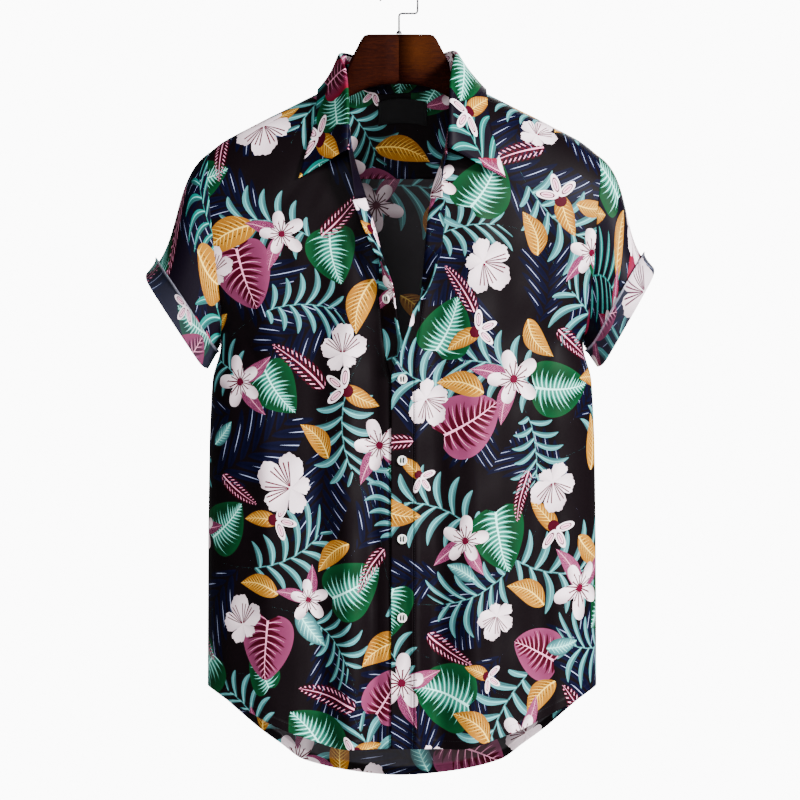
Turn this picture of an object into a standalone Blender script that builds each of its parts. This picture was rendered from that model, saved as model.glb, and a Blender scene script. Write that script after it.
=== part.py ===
"""A short-sleeved Hawaiian shirt on a wooden hanger.

Metres, +Z up. The front faces -Y, and the wearer's left is at +X.
The origin is the inner top of the hanger's hook, where a rail carries it.

Every cloth piece is a grid of points on its outer face. A row runs across the piece, a
column runs up it. Pieces that are sewn together share the points of their seam, so their
walls take one normal there, and each piece then draws back by half the seam gap.
"""
import math

import bmesh
import bpy
import numpy as np
from mathutils import Matrix

# ---------------------------------------------------------------- driving sizes

CLOTH = 0.0012              # wall of every cloth piece
SEAM_GAP = 0.0003           # between pieces that are sewn together
LAYER_GAP = 0.0004          # between pieces that lie on each other

BODY_CENTRE = 0.0033        # the shirt hangs a little to the wearer's left
BODY_POWER = 2.35           # cross-section of the body, from ellipse (2) towards box
SHOULDER_LEVEL = -0.300     # below this the fronts hang straight, above it they round over
UNDERARM = -0.408
SHOULDER_SEAM_TURN = 9.0    # degrees that the shoulder seam lies in front of the ridge
YOKE_SEAM = -0.222          # height of the seam between yoke and back

BAND_WIDTH = 0.024          # front bands
BAND_BEND = 0.003           # bend radius where a band turns over
BAND_LEAVES = math.radians(20)  # turned by less than this, a band still lies on the body
BAND_TOP = -0.250           # where the neckline starts, on both fronts
OVERLAP_LIFT = 0.0026       # the lapping front lies this far in front of the other
OVERLAP_FADE = 0.055        # and comes down to the body over this width
FOLD_SIDE_FADE = 1.5        # folds are full up to where the section has 1 / this of its depth

BACK_NECK_X = 0.0005        # the neck's centre lies over the hook
BACK_NECK_TURN = 33.0       # where the back neckline's middle lies behind the ridge
NECK_ROUND = 0.9            # power of the back neckline's oval
NECK_AXIS_Y = -0.020        # the stand leans towards this line through the neck

STAND_HEIGHT = 0.030
STAND_BEND = 0.004
LEAF_CLEARANCE = 0.0024     # under the leaf's outer edge
LEAF_ROLL = 0.011           # how far the leaf stands up before it turns over
LEAF_FRONT = 0.80           # the leaf ends here, as a share of the way to the stand's end
LEAF_LAST = 1.04            # a neck point this little past that end still carries its point
LEAF_EASE = 0.45            # share of the leaf's width that follows its lower end's direction
LEAF_BELLY = 0.006          # how far it stands off the body there

CUFF_WIDTH = 0.026
CUFF_FLARE = 0.0030         # how far its free edge stands off the sleeve, on top
SLEEVE_HALF_DEPTH = 0.050   # of the sleeve's opening, front to back
CREASE_TOP = -0.345         # below this the sleeve folds sharply against the body
CREASE_GAP = 0.0003         # and stands off its seam by up to this much
SLEEVE_OUT = 0.84           # the direction in which its top leaves the shoulder, outwards
SLEEVE_UP = -0.54           # and upwards

BUTTON_RADIUS = 0.00535
BUTTON_THICKNESS = 0.0022
BUTTON_ROUND = 0.3          # bevel of its rims, as a share of its thickness

LABEL_X = 0.004
LABEL_HALF_WIDTH = 0.0275
LABEL_TURNS = (35.5, 39.5, 43.5, 47.0)   # where its rows lie behind the ridge, in degrees
LABEL_THICKNESS = 0.0008
LABEL_GAP = 0.0006

# Height, half width and half depth of the body. Above the underarm the half width is that
# of a wider oval, which the armholes cut off.
BODY_SECTIONS = (
    # z, half_width, half_depth
    (-0.900, 0.2155, 0.087),
    (-0.780, 0.2150, 0.084),
    (-0.640, 0.2145, 0.080),
    (-0.520, 0.2130, 0.078),
    (-0.480, 0.2115, 0.077),
    (-0.447, 0.2095, 0.0765),
    (-0.408, 0.2005, 0.076),
    (-0.381, 0.2090, 0.0755),
    (-0.354, 0.2185, 0.075),
    (-0.327, 0.2285, 0.074),
    (-0.300, 0.2380, 0.073),
    (-0.196, 0.2620, 0.070),
    (-0.080, 0.2700, 0.070),
)

# The shoulder line, seen from the front, out from the body's centre.
RIDGE = (
    # out, z
    (0.000, -0.0940),
    (0.030, -0.1000),
    (0.066, -0.1160),
    (0.094, -0.1300),
    (0.110, -0.1380),
    (0.129, -0.1476),
    (0.147, -0.1564),
    (0.164, -0.1652),
    (0.181, -0.1740),
    (0.197, -0.1828),
    (0.208, -0.1910),
    (0.220, -0.2010),
)

# How far out the armhole seams lie from the body's centre, at each height.
ARMHOLE = (
    # z, right_out, left_out
    (-0.408, 0.2005, 0.2005),
    (-0.381, 0.1985, 0.2040),
    (-0.354, 0.2010, 0.2080),
    (-0.300, 0.2070, 0.2125),
    (-0.250, 0.2120, 0.2160),
    (-0.218, 0.2145, 0.2190),
    (-0.196, 0.2135, 0.2175),
)

# The fronts' inner edges: the neckline down to BAND_TOP, and the band seams below it.
RIGHT_FRONT_EDGE = (
    # z, x, turn in degrees of the band beyond the seam
    (-0.900, -0.0083, 0.0),
    (-0.450, -0.0083, 0.0),
    (-0.432, -0.0120, 0.0),
    (-0.397, -0.0187, 22.0),
    (-0.376, -0.0198, 38.0),
    (-0.348, -0.0225, 50.0),
    (-0.317, -0.0215, 88.0),
    (-0.306, -0.0235, 112.0),
    (-0.291, -0.0270, 122.0),
    (-0.272, -0.0325, 134.0),
    (-0.250, -0.0400, 142.0),
    (-0.240, -0.0430, 0.0),
    (-0.220, -0.0490, 0.0),
    (-0.197, -0.0550, 0.0),
    (-0.165, -0.0590, 0.0),
    (-0.140, -0.0630, 0.0),
    (-0.116, -0.0680, 0.0),
)
LEFT_FRONT_EDGE = (
    # z, x, turn in degrees of the band beyond the seam
    (-0.900, 0.0154, 0.0),
    (-0.450, 0.0154, 0.0),
    (-0.432, 0.0165, 26.0),
    (-0.408, 0.0190, 44.0),
    (-0.393, 0.0215, 50.0),
    (-0.369, 0.0245, 62.0),
    (-0.353, 0.0265, 90.0),
    (-0.317, 0.0300, 125.0),
    (-0.297, 0.0320, 170.0),
    (-0.265, 0.0355, 160.0),
    (-0.250, 0.0385, 150.0),
    (-0.240, 0.0405, 0.0),
    (-0.220, 0.0470, 0.0),
    (-0.197, 0.0540, 0.0),
    (-0.165, 0.0590, 0.0),
    (-0.140, 0.0630, 0.0),
    (-0.116, 0.0680, 0.0),
)

# The hems, out from the body's centre.
HEM = (
    # out, front_z, back_z
    (0.000, -0.845, -0.889),
    (0.060, -0.846, -0.883),
    (0.110, -0.834, -0.871),
    (0.136, -0.826, -0.852),
    (0.160, -0.815, -0.834),
    (0.188, -0.801, -0.809),
    (0.205, -0.790, -0.793),
    (0.216, -0.783, -0.783),
)

# Soft vertical folds. Each stands out by its height at the hem and fades to nothing
# at the fade height.
FRONT_FOLDS = (
    # x, half_width, height, fade_z
    (0.022, 0.016, 0.0045, -0.62),
    (0.046, 0.020, -0.0050, -0.55),
    (0.084, 0.026, 0.0035, -0.60),
    (-0.046, 0.022, 0.0055, -0.56),
    (-0.080, 0.024, -0.0055, -0.50),
    (-0.118, 0.030, 0.0035, -0.60),
    (0.150, 0.030, -0.0035, -0.45),
)
BACK_FOLDS = (
    # x, half_width, height, fade_z
    (0.012, 0.024, 0.0060, -0.60),
    (0.058, 0.028, -0.0065, -0.42),
    (0.110, 0.032, 0.0055, -0.50),
    (-0.040, 0.026, -0.0060, -0.48),
    (-0.092, 0.030, 0.0060, -0.40),
    (-0.145, 0.030, -0.0040, -0.58),
)

# The stand's angle out of the body's surface, from the back of the neck to its front end.
STAND_ANGLE = (
    # share, angle in degrees
    (0.00, 18.0),
    (0.22, 34.0),
    (0.36, 52.0),
    (0.58, 76.0),
    (0.75, 92.0),
    (0.88, 106.0),
    (1.00, 142.0),
)

# The leaf's outer edge on the body: how far out from the centre, and how many degrees over
# the shoulder, in front (-) or behind (+), from the middle of the back to the point.
LEAF_EDGE = (
    # share, out, turn
    (0.00, 0.000, 38.5),
    (0.18, 0.036, 36.0),
    (0.32, 0.064, 30.0),
    (0.45, 0.083, 16.0),
    (0.55, 0.090, 0.0),
    (0.70, 0.093, -27.0),
    (0.84, 0.097, -41.0),
    (1.00, 0.113, -62.5),
)

# The sleeves' openings: the upper and the lower end of each, out from the body's centre.
SLEEVES = (
    # name, side, top_out, top_z, bottom_out, bottom_z
    ("right", -1.0, 0.2849, -0.3315, 0.2167, -0.4360),
    ("left", 1.0, 0.2805, -0.3245, 0.2185, -0.4340),
)

# Buttons: on which band, at which height, and how far off it they stand. The first one is
# open, and the second one lies where its band begins to turn out.
BUTTONS = (
    # band, z, standoff
    ("right", -0.358, 0.0005),
    ("left", -0.446, 0.0012),
    ("left", -0.535, 0.0004),
    ("left", -0.621, 0.0004),
    ("left", -0.707, 0.0004),
)

# The wood, out from the middle: heights of its top and bottom, and half its thickness.
# From the last one outwards it follows the shoulders.
HANGER_NECK = (
    # out, top, bottom, half_thickness
    (0.000, -0.0640, -0.1190, 0.0080),
    (0.018, -0.0640, -0.1200, 0.0080),
    (0.034, -0.0642, -0.1235, 0.0080),
    (0.0385, -0.0655, -0.1255, 0.0080),
    (0.042, -0.0700, -0.1270, 0.0080),
    (0.0482, -0.0820, -0.1300, 0.0080),
    (0.0548, -0.0948, -0.1335, 0.0080),
    (0.0578, -0.1080, -0.1360, 0.0080),
    (0.0612, -0.1215, -0.1390, 0.0080),
)
HANGER_ARM_START = 0.074
HANGER_ARM_END = 0.192
HANGER_ARM_STATIONS = 8
HANGER_TOP_CLEARANCE = 0.0025   # from the cloth's outer face down to the wood
HANGER_ARM_DEEP = 0.030         # height of the arm near the neck
HANGER_TIP_DEEP = 0.024         # and at its end
HANGER_TIP_HALF = 0.0120        # half thickness at its end
HANGER_END_LENGTH = 0.0060      # past it the arm narrows to its end face
HANGER_END_DROP = 0.0065
HANGER_END_RISE = 0.0030
HANGER_END_SHARE = 0.72
HANGER_ROUND = 0.42             # most of a section's height that one rounded edge takes

HOOK_WIRE = 0.0011          # radius
HOOK_RADIUS = 0.0205        # of the arch, to the middle of the wire
HOOK_FOOT = -0.0636         # lower end of the wire, just above the wood
HOOK_JOG = -0.0412          # height of the short level run
HOOK_CORNER = 0.0030        # bend radius at its ends
HOOK_TIP = 0.008            # straight end of the wire past the arch
FERRULE_BORE = 0.0014
FERRULE_TOP_RADIUS = 0.0022
FERRULE_FOOT_RADIUS = 0.0034
FERRULE_HEIGHT = 0.0032

# ---------------------------------------------------------------- grid counts

LOWER_ROWS = 12             # hem to underarm
ARMHOLE_ROWS = 4            # underarm to shoulder level
SHOULDER_TURNS = (90.0, 75.0, 60.0, 46.0, 33.0, 20.5, SHOULDER_SEAM_TURN)
FRONT_COLUMNS = 14
NECK_COLUMNS = 5            # from the middle of the back to where the shoulder seam starts
NECK_SHARE = 0.32           # the neck's share of the half width
BACK_UPPER_ROWS = 2         # shoulder level to yoke seam
YOKE_ROWS = 6
BAND_STEPS = (0.0, 0.004, 0.008, 0.012, 0.018, BAND_WIDTH)
STAND_STEPS = (0.0, 0.004, 0.009, 0.016, 0.023, STAND_HEIGHT)
LEAF_STEPS = (0.0, 0.14, 0.3, 0.48, 0.66, 0.83, 1.0)
SLEEVE_STEPS = (0.0, 0.2, 0.4, 0.6, 0.8, 1.0)
CUFF_ROWS = 3
LABEL_COLUMNS = 5
HANGER_ROUND_STEPS = 6
HOOK_CORNER_STEPS = 3
HOOK_ARCH_STEPS = 14
BUTTON_SIDES = 16

SEAM_COSINE = 0.25          # sewn pieces that turn by more than this take no common normal
LEAST_SLANT = 0.6           # a slanting wall is made thicker along its normal up to 1 / this

RIGHT = -1.0                # the wearer's right is at -X
LEFT = 1.0
FRONT = -1.0
BACK = 1.0


# ---------------------------------------------------------------- tables and curves

def smooth(table, at, column):
    """Read one column of a table at a value of its first column, on a smooth curve."""
    keys = [row[0] for row in table]
    values = [row[column] for row in table]
    if at <= keys[0]:
        return values[0]
    if at >= keys[-1]:
        return values[-1]
    i = 0
    while at > keys[i + 1]:
        i += 1

    def slope(k):
        if k == 0 or k == len(keys) - 1:
            return 0.0 if k == 0 else (values[k] - values[k - 1]) / (keys[k] - keys[k - 1])
        before = (values[k] - values[k - 1]) / (keys[k] - keys[k - 1])
        after = (values[k + 1] - values[k]) / (keys[k + 1] - keys[k])
        if before * after <= 0.0:
            return 0.0
        return 2.0 * before * after / (before + after)

    step = keys[i + 1] - keys[i]
    t = (at - keys[i]) / step
    return ((1 + 2 * t) * (1 - t) ** 2 * values[i] + t * (1 - t) ** 2 * step * slope(i)
            + t * t * (3 - 2 * t) * values[i + 1] + t * t * (t - 1) * step * slope(i + 1))


def unit(v):
    v = np.asarray(v, dtype=float)
    length = np.linalg.norm(v)
    return v / length if length > 1e-12 else v


def shares_along(points):
    """Share of the whole length reached at each of a line's points."""
    points = np.asarray(points)
    steps = np.linalg.norm(np.diff(points, axis=0), axis=1)
    reached = np.concatenate(([0.0], np.cumsum(steps)))
    return reached / reached[-1]


# ---------------------------------------------------------------- the body's surface

def ridge(x):
    """Height of the shoulder line over a place across the body."""
    return smooth(RIDGE, abs(x - BODY_CENTRE), 1)


def folds(table, x, z):
    total = 0.0
    hem = BODY_SECTIONS[0][0]
    for centre, half_width, height, fade_z in table:
        away = abs(x - centre) / half_width
        if away < 1.0 and z < fade_z:
            down = (fade_z - z) / (fade_z - hem)
            total += height * (0.5 + 0.5 * math.cos(math.pi * away)) * down * (2.0 - down)
    return total


def depth(x, z, face):
    """Distance of the hanging body's outer face from the middle plane."""
    half_width = smooth(BODY_SECTIONS, z, 1)
    half_depth = smooth(BODY_SECTIONS, z, 2)
    share = min(abs(x - BODY_CENTRE) / half_width, 1.0)
    rounded = (1.0 - share ** BODY_POWER) ** (1.0 / BODY_POWER)
    table = FRONT_FOLDS if face == FRONT else BACK_FOLDS
    return half_depth * rounded + folds(table, x, z) * min(1.0, rounded * FOLD_SIDE_FADE)


def hanging(x, z, face):
    """A point on the body below shoulder level."""
    return np.array((x, face * depth(x, z, face), z))


def over_shoulder(x, turn):
    """A point above shoulder level. Turn is 90 degrees at shoulder level, 0 on the ridge."""
    angle = math.radians(turn)
    z = SHOULDER_LEVEL + (ridge(x) - SHOULDER_LEVEL) * math.cos(angle)
    face = BACK if turn > 0 else FRONT
    return np.array((x, depth(x, z, face) * math.sin(angle), z))


def shoulder_normal(x, turn):
    aside = 0.001
    degrees = 0.5
    across = over_shoulder(x + aside, turn) - over_shoulder(x - aside, turn)
    over = over_shoulder(x, turn + degrees) - over_shoulder(x, turn - degrees)
    return unit(np.cross(across, over))


def column_share(j, first_angle, columns):
    """Columns crowd towards the side, where the body turns sharply."""
    angle = first_angle + (math.pi / 2 - first_angle) * j / columns
    return (math.sin(angle) - math.sin(first_angle)) / (1.0 - math.sin(first_angle))


NECK_ANGLE = math.asin(NECK_SHARE)


def front_share(j):
    return column_share(j, NECK_ANGLE, FRONT_COLUMNS)


def hem_height(x, face):
    return smooth(HEM, abs(x - BODY_CENTRE), 1 if face == FRONT else 2)


def armhole_x(side, z):
    return BODY_CENTRE + side * smooth(ARMHOLE, z, 1 if side == RIGHT else 2)


def front_edge(side, z, column):
    table = RIGHT_FRONT_EDGE if side == RIGHT else LEFT_FRONT_EDGE
    return smooth(table, z, column)


def lift(side, x):
    """The wearer's left front lies over the right one."""
    if side == RIGHT:
        return 0.0
    seam_x = LEFT_FRONT_EDGE[0][1]
    fade = min(max((OVERLAP_FADE - x) / (OVERLAP_FADE - seam_x), 0.0), 1.0)
    return OVERLAP_LIFT * fade * fade * (3 - 2 * fade)


def turn_at_height(x, z):
    """The turn over the shoulder at which the surface has a given height."""
    share = (z - SHOULDER_LEVEL) / (ridge(x) - SHOULDER_LEVEL)
    return math.degrees(math.acos(min(max(share, -1.0), 1.0)))


# ---------------------------------------------------------------- cloth grids

def lower_row(side, face, i, inner, shares):
    """A row between hem and underarm, from an inner x to the side seam."""
    row = []
    up = i / LOWER_ROWS
    for share in shares:
        x = BODY_CENTRE
        for _ in range(8):
            z = hem_height(x, face) * (1 - up) + UNDERARM * up
            outer = BODY_CENTRE + side * smooth(BODY_SECTIONS, z, 1)
            start = inner(side, z)
            x = start + (outer - start) * share
        row.append(hanging(x, z, face))
    return row


def band_seam_x(side, z):
    return front_edge(side, z, 1)


def back_middle_x(side, z):
    return BODY_CENTRE


def front_grid(side):
    """Rows from the hem up to the shoulder seam, columns from the band out to the side."""
    shares = [front_share(j) for j in range(FRONT_COLUMNS + 1)]
    rows = []
    for i in range(LOWER_ROWS + 1):
        rows.append(lower_row(side, FRONT, i, band_seam_x, shares))
    for i in range(1, ARMHOLE_ROWS):
        z = UNDERARM + (SHOULDER_LEVEL - UNDERARM) * i / ARMHOLE_ROWS
        start = front_edge(side, z, 1)
        end = armhole_x(side, z)
        rows.append([hanging(start + (end - start) * share, z, FRONT) for share in shares])
    for turn in SHOULDER_TURNS:
        start, end = edge_at_turn(side, turn)
        rows.append([over_shoulder(start + (end - start) * share, -turn) for share in shares])
    grid = np.array(rows)
    for row in grid:
        for point in row:
            point[1] -= lift(side, point[0]) if point[2] < BAND_TOP else 0.0
    return grid


def edge_at_turn(side, turn):
    """Where a row over the shoulder starts, at the neckline, and ends, at the armhole."""
    start = side * 0.05
    end = side * 0.21
    for _ in range(12):
        start = front_edge(side, over_shoulder(start, -turn)[2], 1)
        end = armhole_x(side, over_shoulder(end, -turn)[2])
    return start, end


def back_shares():
    """Share of the half width at each column, from the middle to the side."""
    shares = [NECK_SHARE * j / NECK_COLUMNS for j in range(NECK_COLUMNS)]
    shares += [NECK_SHARE + (1 - NECK_SHARE) * front_share(j) for j in range(FRONT_COLUMNS + 1)]
    return shares


def both_sides(half, *settings):
    """A whole row from its two halves, each from the middle outwards."""
    return half(RIGHT, *settings)[::-1] + half(LEFT, *settings)[1:]


def back_lower_half(side, i, shares):
    return lower_row(side, BACK, i, back_middle_x, shares)


def back_armhole_half(side, z, shares):
    end = armhole_x(side, z)
    return [hanging(BODY_CENTRE + (end - BODY_CENTRE) * share, z, BACK) for share in shares]


def back_upper_half(side, up, shares):
    """Half a row over the shoulder blades, up from shoulder level to the yoke seam."""
    end = armhole_x(side, SHOULDER_LEVEL)
    points = []
    for share in shares:
        x = BODY_CENTRE + (end - BODY_CENTRE) * share
        for _ in range(8):
            turn = 90.0 + (turn_at_height(x, YOKE_SEAM) - 90.0) * up
            z = over_shoulder(x, turn)[2]
            x = BODY_CENTRE + (armhole_x(side, z) - BODY_CENTRE) * share
        points.append(over_shoulder(x, turn))
    return points


def back_grid():
    """Rows from the hem up to the yoke seam, columns from the right side to the left."""
    shares = back_shares()
    rows = []
    for i in range(LOWER_ROWS + 1):
        rows.append(both_sides(back_lower_half, i, shares))
    for i in range(1, ARMHOLE_ROWS):
        z = UNDERARM + (SHOULDER_LEVEL - UNDERARM) * i / ARMHOLE_ROWS
        rows.append(both_sides(back_armhole_half, z, shares))
    for i in range(BACK_UPPER_ROWS + 1):
        rows.append(both_sides(back_upper_half, i / BACK_UPPER_ROWS, shares))
    return np.array(rows)


def yoke_top_half(front):
    """Points and turns from the middle of the back neckline along the shoulder seam."""
    seam = [(point, -SHOULDER_SEAM_TURN) for point in front[-1]]
    corner = front[-1][0]
    neck = []
    for j in range(1, NECK_COLUMNS + 1):
        # a quarter oval from the shoulder seam's start to the middle of the back
        angle = math.pi / 2 * j / NECK_COLUMNS
        x = BACK_NECK_X + (corner[0] - BACK_NECK_X) * math.cos(angle) ** NECK_ROUND
        turn = -SHOULDER_SEAM_TURN + (BACK_NECK_TURN + SHOULDER_SEAM_TURN) * math.sin(angle)
        neck.append((over_shoulder(x, turn), turn))
    return neck[::-1] + seam


def yoke_grid(back_row, right_front, left_front):
    """Rows from the yoke seam over the ridge to the shoulder seams and the back neckline."""
    line = yoke_top_half(right_front)[::-1] + yoke_top_half(left_front)[1:]
    top = [point for point, _ in line]
    turns = [turn for _, turn in line]
    rows = [list(back_row)]
    for i in range(1, YOKE_ROWS + 1):
        row = []
        for k, (low, high, high_turn) in enumerate(zip(back_row, top, turns)):
            low_turn = turn_at_height(low[0], YOKE_SEAM)
            up = i / YOKE_ROWS
            turn = low_turn + (high_turn - low_turn) * up
            x = low[0] + (high[0] - low[0]) * up
            if k in (0, len(back_row) - 1):
                side = RIGHT if k == 0 else LEFT
                for _ in range(8):
                    x = armhole_x(side, over_shoulder(x, turn)[2])
            row.append(high if i == YOKE_ROWS else over_shoulder(x, turn))
        rows.append(row)
    return np.array(rows)


def neckline(right_front, yoke, left_front):
    """The neckline's points from the right front's band to the left front's."""
    first = band_row_count() - 1
    right = [row[0] for row in right_front[first:]]
    left = [row[0] for row in left_front[first:]]
    over = list(yoke[-1][FRONT_COLUMNS:FRONT_COLUMNS + 2 * NECK_COLUMNS + 1])
    return right[:-1] + over + left[::-1][1:]


def band_row_count():
    """How many of a front's rows its band covers, from the hem to the neckline."""
    return LOWER_ROWS + ARMHOLE_ROWS + 2


def bent_strip(start, inward, normal, angle, radius, steps):
    """Points along a strip that leaves a surface flat, bends by an angle and runs on."""
    points = []
    for s in steps:
        arc = min(s / radius, angle)
        rest = s - arc * radius
        along = radius * math.sin(arc) + rest * math.cos(arc)
        out = radius * (1 - math.cos(arc)) + rest * math.sin(arc)
        points.append(start + inward * along + normal * out)
    return points


def edge_frames(line, normals, towards):
    """At each point of an edge, the direction that leads on over the edge, in the surface."""
    frames = []
    for k, point in enumerate(line):
        before = line[max(k - 1, 0)]
        after = line[min(k + 1, len(line) - 1)]
        tangent = unit(after - before)
        normal = unit(normals[k] - tangent * np.dot(normals[k], tangent))
        inward = unit(np.cross(normal, tangent))
        if np.dot(inward, towards(point)) < 0:
            inward = -inward
        frames.append((inward, normal))
    return frames


def band_grid(side, front):
    """Columns from the band seam to the free edge, rows from the hem to the neckline."""
    count = band_row_count()
    line = [row[0] for row in front[:count]]
    normals = edge_normals(front, side)[:count]
    frames = edge_frames(line, normals, lambda p: np.array((-side, 0.0, 0.0)))
    rows = []
    for point, (inward, normal) in zip(line, frames):
        angle = math.radians(front_edge(side, min(point[2], BAND_TOP), 2))
        bent = bent_strip(point, inward, normal, angle, BAND_BEND, BAND_STEPS)
        turned = min(angle / BAND_LEAVES, 1.0)
        row = []
        for place, step in zip(bent, BAND_STEPS):
            flat = hanging(point[0] - side * step, point[2], FRONT)
            flat[1] -= lift(side, flat[0])
            row.append(place * turned + flat * (1 - turned))
        rows.append(row)
    return np.array(rows)


def edge_normals(front, side):
    """Normals of a front along its first column, pointing out of the body."""
    normals = []
    for i, row in enumerate(front):
        up = front[min(i + 1, len(front) - 1)][0] - front[max(i - 1, 0)][0]
        across = row[1] - row[0]
        normals.append(unit(np.cross(across, up) * side))
    return normals


def stand_grid(line, normals):
    """Rows from the neckline up to the fold, columns round the neck."""
    reached = shares_along(line)
    centre = reached[len(line) // 2]
    frames = edge_frames(line, normals, lambda p: np.array((-p[0], NECK_AXIS_Y - p[1], 0.0)))
    columns = []
    for k, (point, (inward, normal)) in enumerate(zip(line, frames)):
        side_length = centre if reached[k] < centre else 1 - centre
        share = abs(reached[k] - centre) / side_length
        angle = math.radians(smooth(STAND_ANGLE, share, 1))
        columns.append(bent_strip(point, inward, normal, angle, STAND_BEND, STAND_STEPS))
    return np.array(columns).transpose(1, 0, 2)


def leaf_grid(stand):
    """Rows from the fold to the outer edge, columns round the neck."""
    fold = stand[-1]
    rise = fold - stand[-2]
    reached = shares_along(fold)
    centre = reached[len(fold) // 2]
    columns = []
    for k, point in enumerate(fold):
        side_length = centre if reached[k] < centre else 1 - centre
        share = abs(reached[k] - centre) / side_length / LEAF_FRONT
        if share > LEAF_LAST:
            continue
        share = min(share, 1.0)
        side = -1.0 if reached[k] < centre else 1.0
        x = BODY_CENTRE + side * smooth(LEAF_EDGE, share, 1)
        turn = smooth(LEAF_EDGE, share, 2)
        normal = shoulder_normal(x, turn)
        edge = over_shoulder(x, turn) + normal * (LEAF_CLEARANCE + CLOTH)
        back_up = point - edge
        back_up = unit(back_up - normal * np.dot(back_up, normal))
        ahead = unit(rise[k])
        reach = np.linalg.norm(point - edge)
        controls = (point, point + ahead * LEAF_ROLL,
                    edge + back_up * reach * LEAF_EASE + normal * LEAF_BELLY, edge)
        column = []
        for t in LEAF_STEPS:
            weights = ((1 - t) ** 3, 3 * t * (1 - t) ** 2, 3 * t * t * (1 - t), t ** 3)
            column.append(sum(w * c for w, c in zip(weights, controls)))
        columns.append(column)
    return np.array(columns).transpose(1, 0, 2)


# ---------------------------------------------------------------- sleeves

def armhole_loop(side, front, back, yoke):
    """The armhole's points from the shoulder seam down the front and up the back."""
    column = -1 if side == LEFT else 0
    first = LOWER_ROWS
    down = [row[-1] for row in front[first:]][::-1]
    up = [row[column] for row in back[first + 1:]]
    over = [row[column] for row in yoke[1:-1]]
    return np.array(down + up + over), len(down) - 1


def sleeve_curves(side, loop, low, top_out, top_z, bottom_out, bottom_z):
    """For each armhole point, the curve along the sleeve to its opening."""
    top = np.array((BODY_CENTRE + side * top_out, 0.0, top_z))
    bottom = np.array((BODY_CENTRE + side * bottom_out, 0.0, bottom_z))
    centre = (top + bottom) / 2
    radius = (top - bottom) / 2
    axis = unit(np.array((-side * radius[2], 0.0, side * radius[0])))
    if axis[0] * side < 0:
        axis = -axis
    closed = np.vstack([loop, loop[:1]])
    reached = shares_along(closed)
    start_angle = math.radians(SHOULDER_SEAM_TURN)
    curves = []
    for k, start in enumerate(loop):
        if k <= low:
            angle = start_angle + (math.pi - start_angle) * reached[k] / reached[low]
        else:
            share = (reached[k] - reached[low]) / (1 - reached[low])
            angle = math.pi + (math.pi + start_angle) * share
        end = centre + radius * math.cos(angle)
        end = end + np.array((0.0, -SLEEVE_HALF_DEPTH * math.sin(angle), 0.0))
        low_share = min(max((CREASE_TOP - start[2]) / (CREASE_TOP - UNDERARM), 0.0), 1.0)
        start = start + np.array((side * CREASE_GAP * low_share, 0.0, 0.0))
        reach = np.linalg.norm(end - start)
        upper = math.cos(angle / 2) ** 2
        leave = np.array((side * SLEEVE_OUT, 0.0, SLEEVE_UP)) * reach
        straight = end - start
        curves.append((start, straight * (1 - upper) + leave * upper,
                       straight * (1 - upper) + axis * reach * upper, end))
    return curves


def along(curve, t):
    """A point on a curve that has a start, a start slope, an end slope and an end."""
    start, leave, arrive, end = curve
    return ((1 + 2 * t) * (1 - t) ** 2 * start + t * (1 - t) ** 2 * leave
            + t * t * (3 - 2 * t) * end + t * t * (t - 1) * arrive)


def cuff_start(curve):
    """Where on a sleeve's curve the cuff begins."""
    points = [along(curve, t) for t in np.linspace(0, 1, 41)]
    length = np.linalg.norm(np.diff(points, axis=0), axis=1).sum()
    return 1.0 - CUFF_WIDTH / length


def sleeve_grid(curves):
    """Rows from the armhole to the opening. The last ones lie under the cuff."""
    starts = [cuff_start(curve) for curve in curves]
    rows = [[along(curve, start * t) for curve, start in zip(curves, starts)]
            for t in SLEEVE_STEPS]
    for i in range(1, CUFF_ROWS + 1):
        share = i / CUFF_ROWS
        rows.append([along(curve, start + (1 - start) * share)
                     for curve, start in zip(curves, starts)])
    return np.array(rows)


def cuff_grid(sleeve):
    """Rows from the cuff's free edge to the opening: the sleeve's own points, moved out."""
    first = len(SLEEVE_STEPS) - 1
    normals = sleeve.normals()
    rings = sleeve.grid[first:]
    top = max(point[2] for point in rings[0])
    bottom = min(point[2] for point in rings[0])
    rows = []
    for i, ring in enumerate(rings):
        row = []
        for k, point in enumerate(ring):
            upper = (point[2] - bottom) / (top - bottom)
            flare = CUFF_FLARE * (1 - i / CUFF_ROWS) * min(max(upper, 0.0), 1.0)
            out = unit(normals[first + i][k])
            row.append(point + out * (LAYER_GAP + CLOTH + flare))
        rows.append(row)
    return np.array(rows)


# ---------------------------------------------------------------- walls from grids

class Piece:
    """A cloth piece: its outer face as a grid, whether its rows close into rings, and
    whether the grid's faces have to be turned round to point out."""

    def __init__(self, name, grid, closed=False, flip=False, wall=CLOTH):
        self.name = name
        self.grid = np.array(grid, dtype=float)
        self.closed = closed
        self.flip = flip
        self.wall = wall

    def quads(self):
        rows, columns = self.grid.shape[:2]
        last = columns if self.closed else columns - 1
        for i in range(rows - 1):
            for j in range(last):
                quad = ((i, j), (i, (j + 1) % columns), (i + 1, (j + 1) % columns), (i + 1, j))
                yield quad[::-1] if self.flip else quad

    def normals(self):
        """The normal at each of the grid's points, from the faces round it."""
        total = np.zeros_like(self.grid)
        for quad in self.quads():
            a, b, c, d = (self.grid[q] for q in quad)
            normal = np.cross(c - a, d - b)
            for q in quad:
                total[q] += normal
        return total


def seam_key(point):
    return tuple(int(round(v * 1e5)) for v in point)


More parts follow.
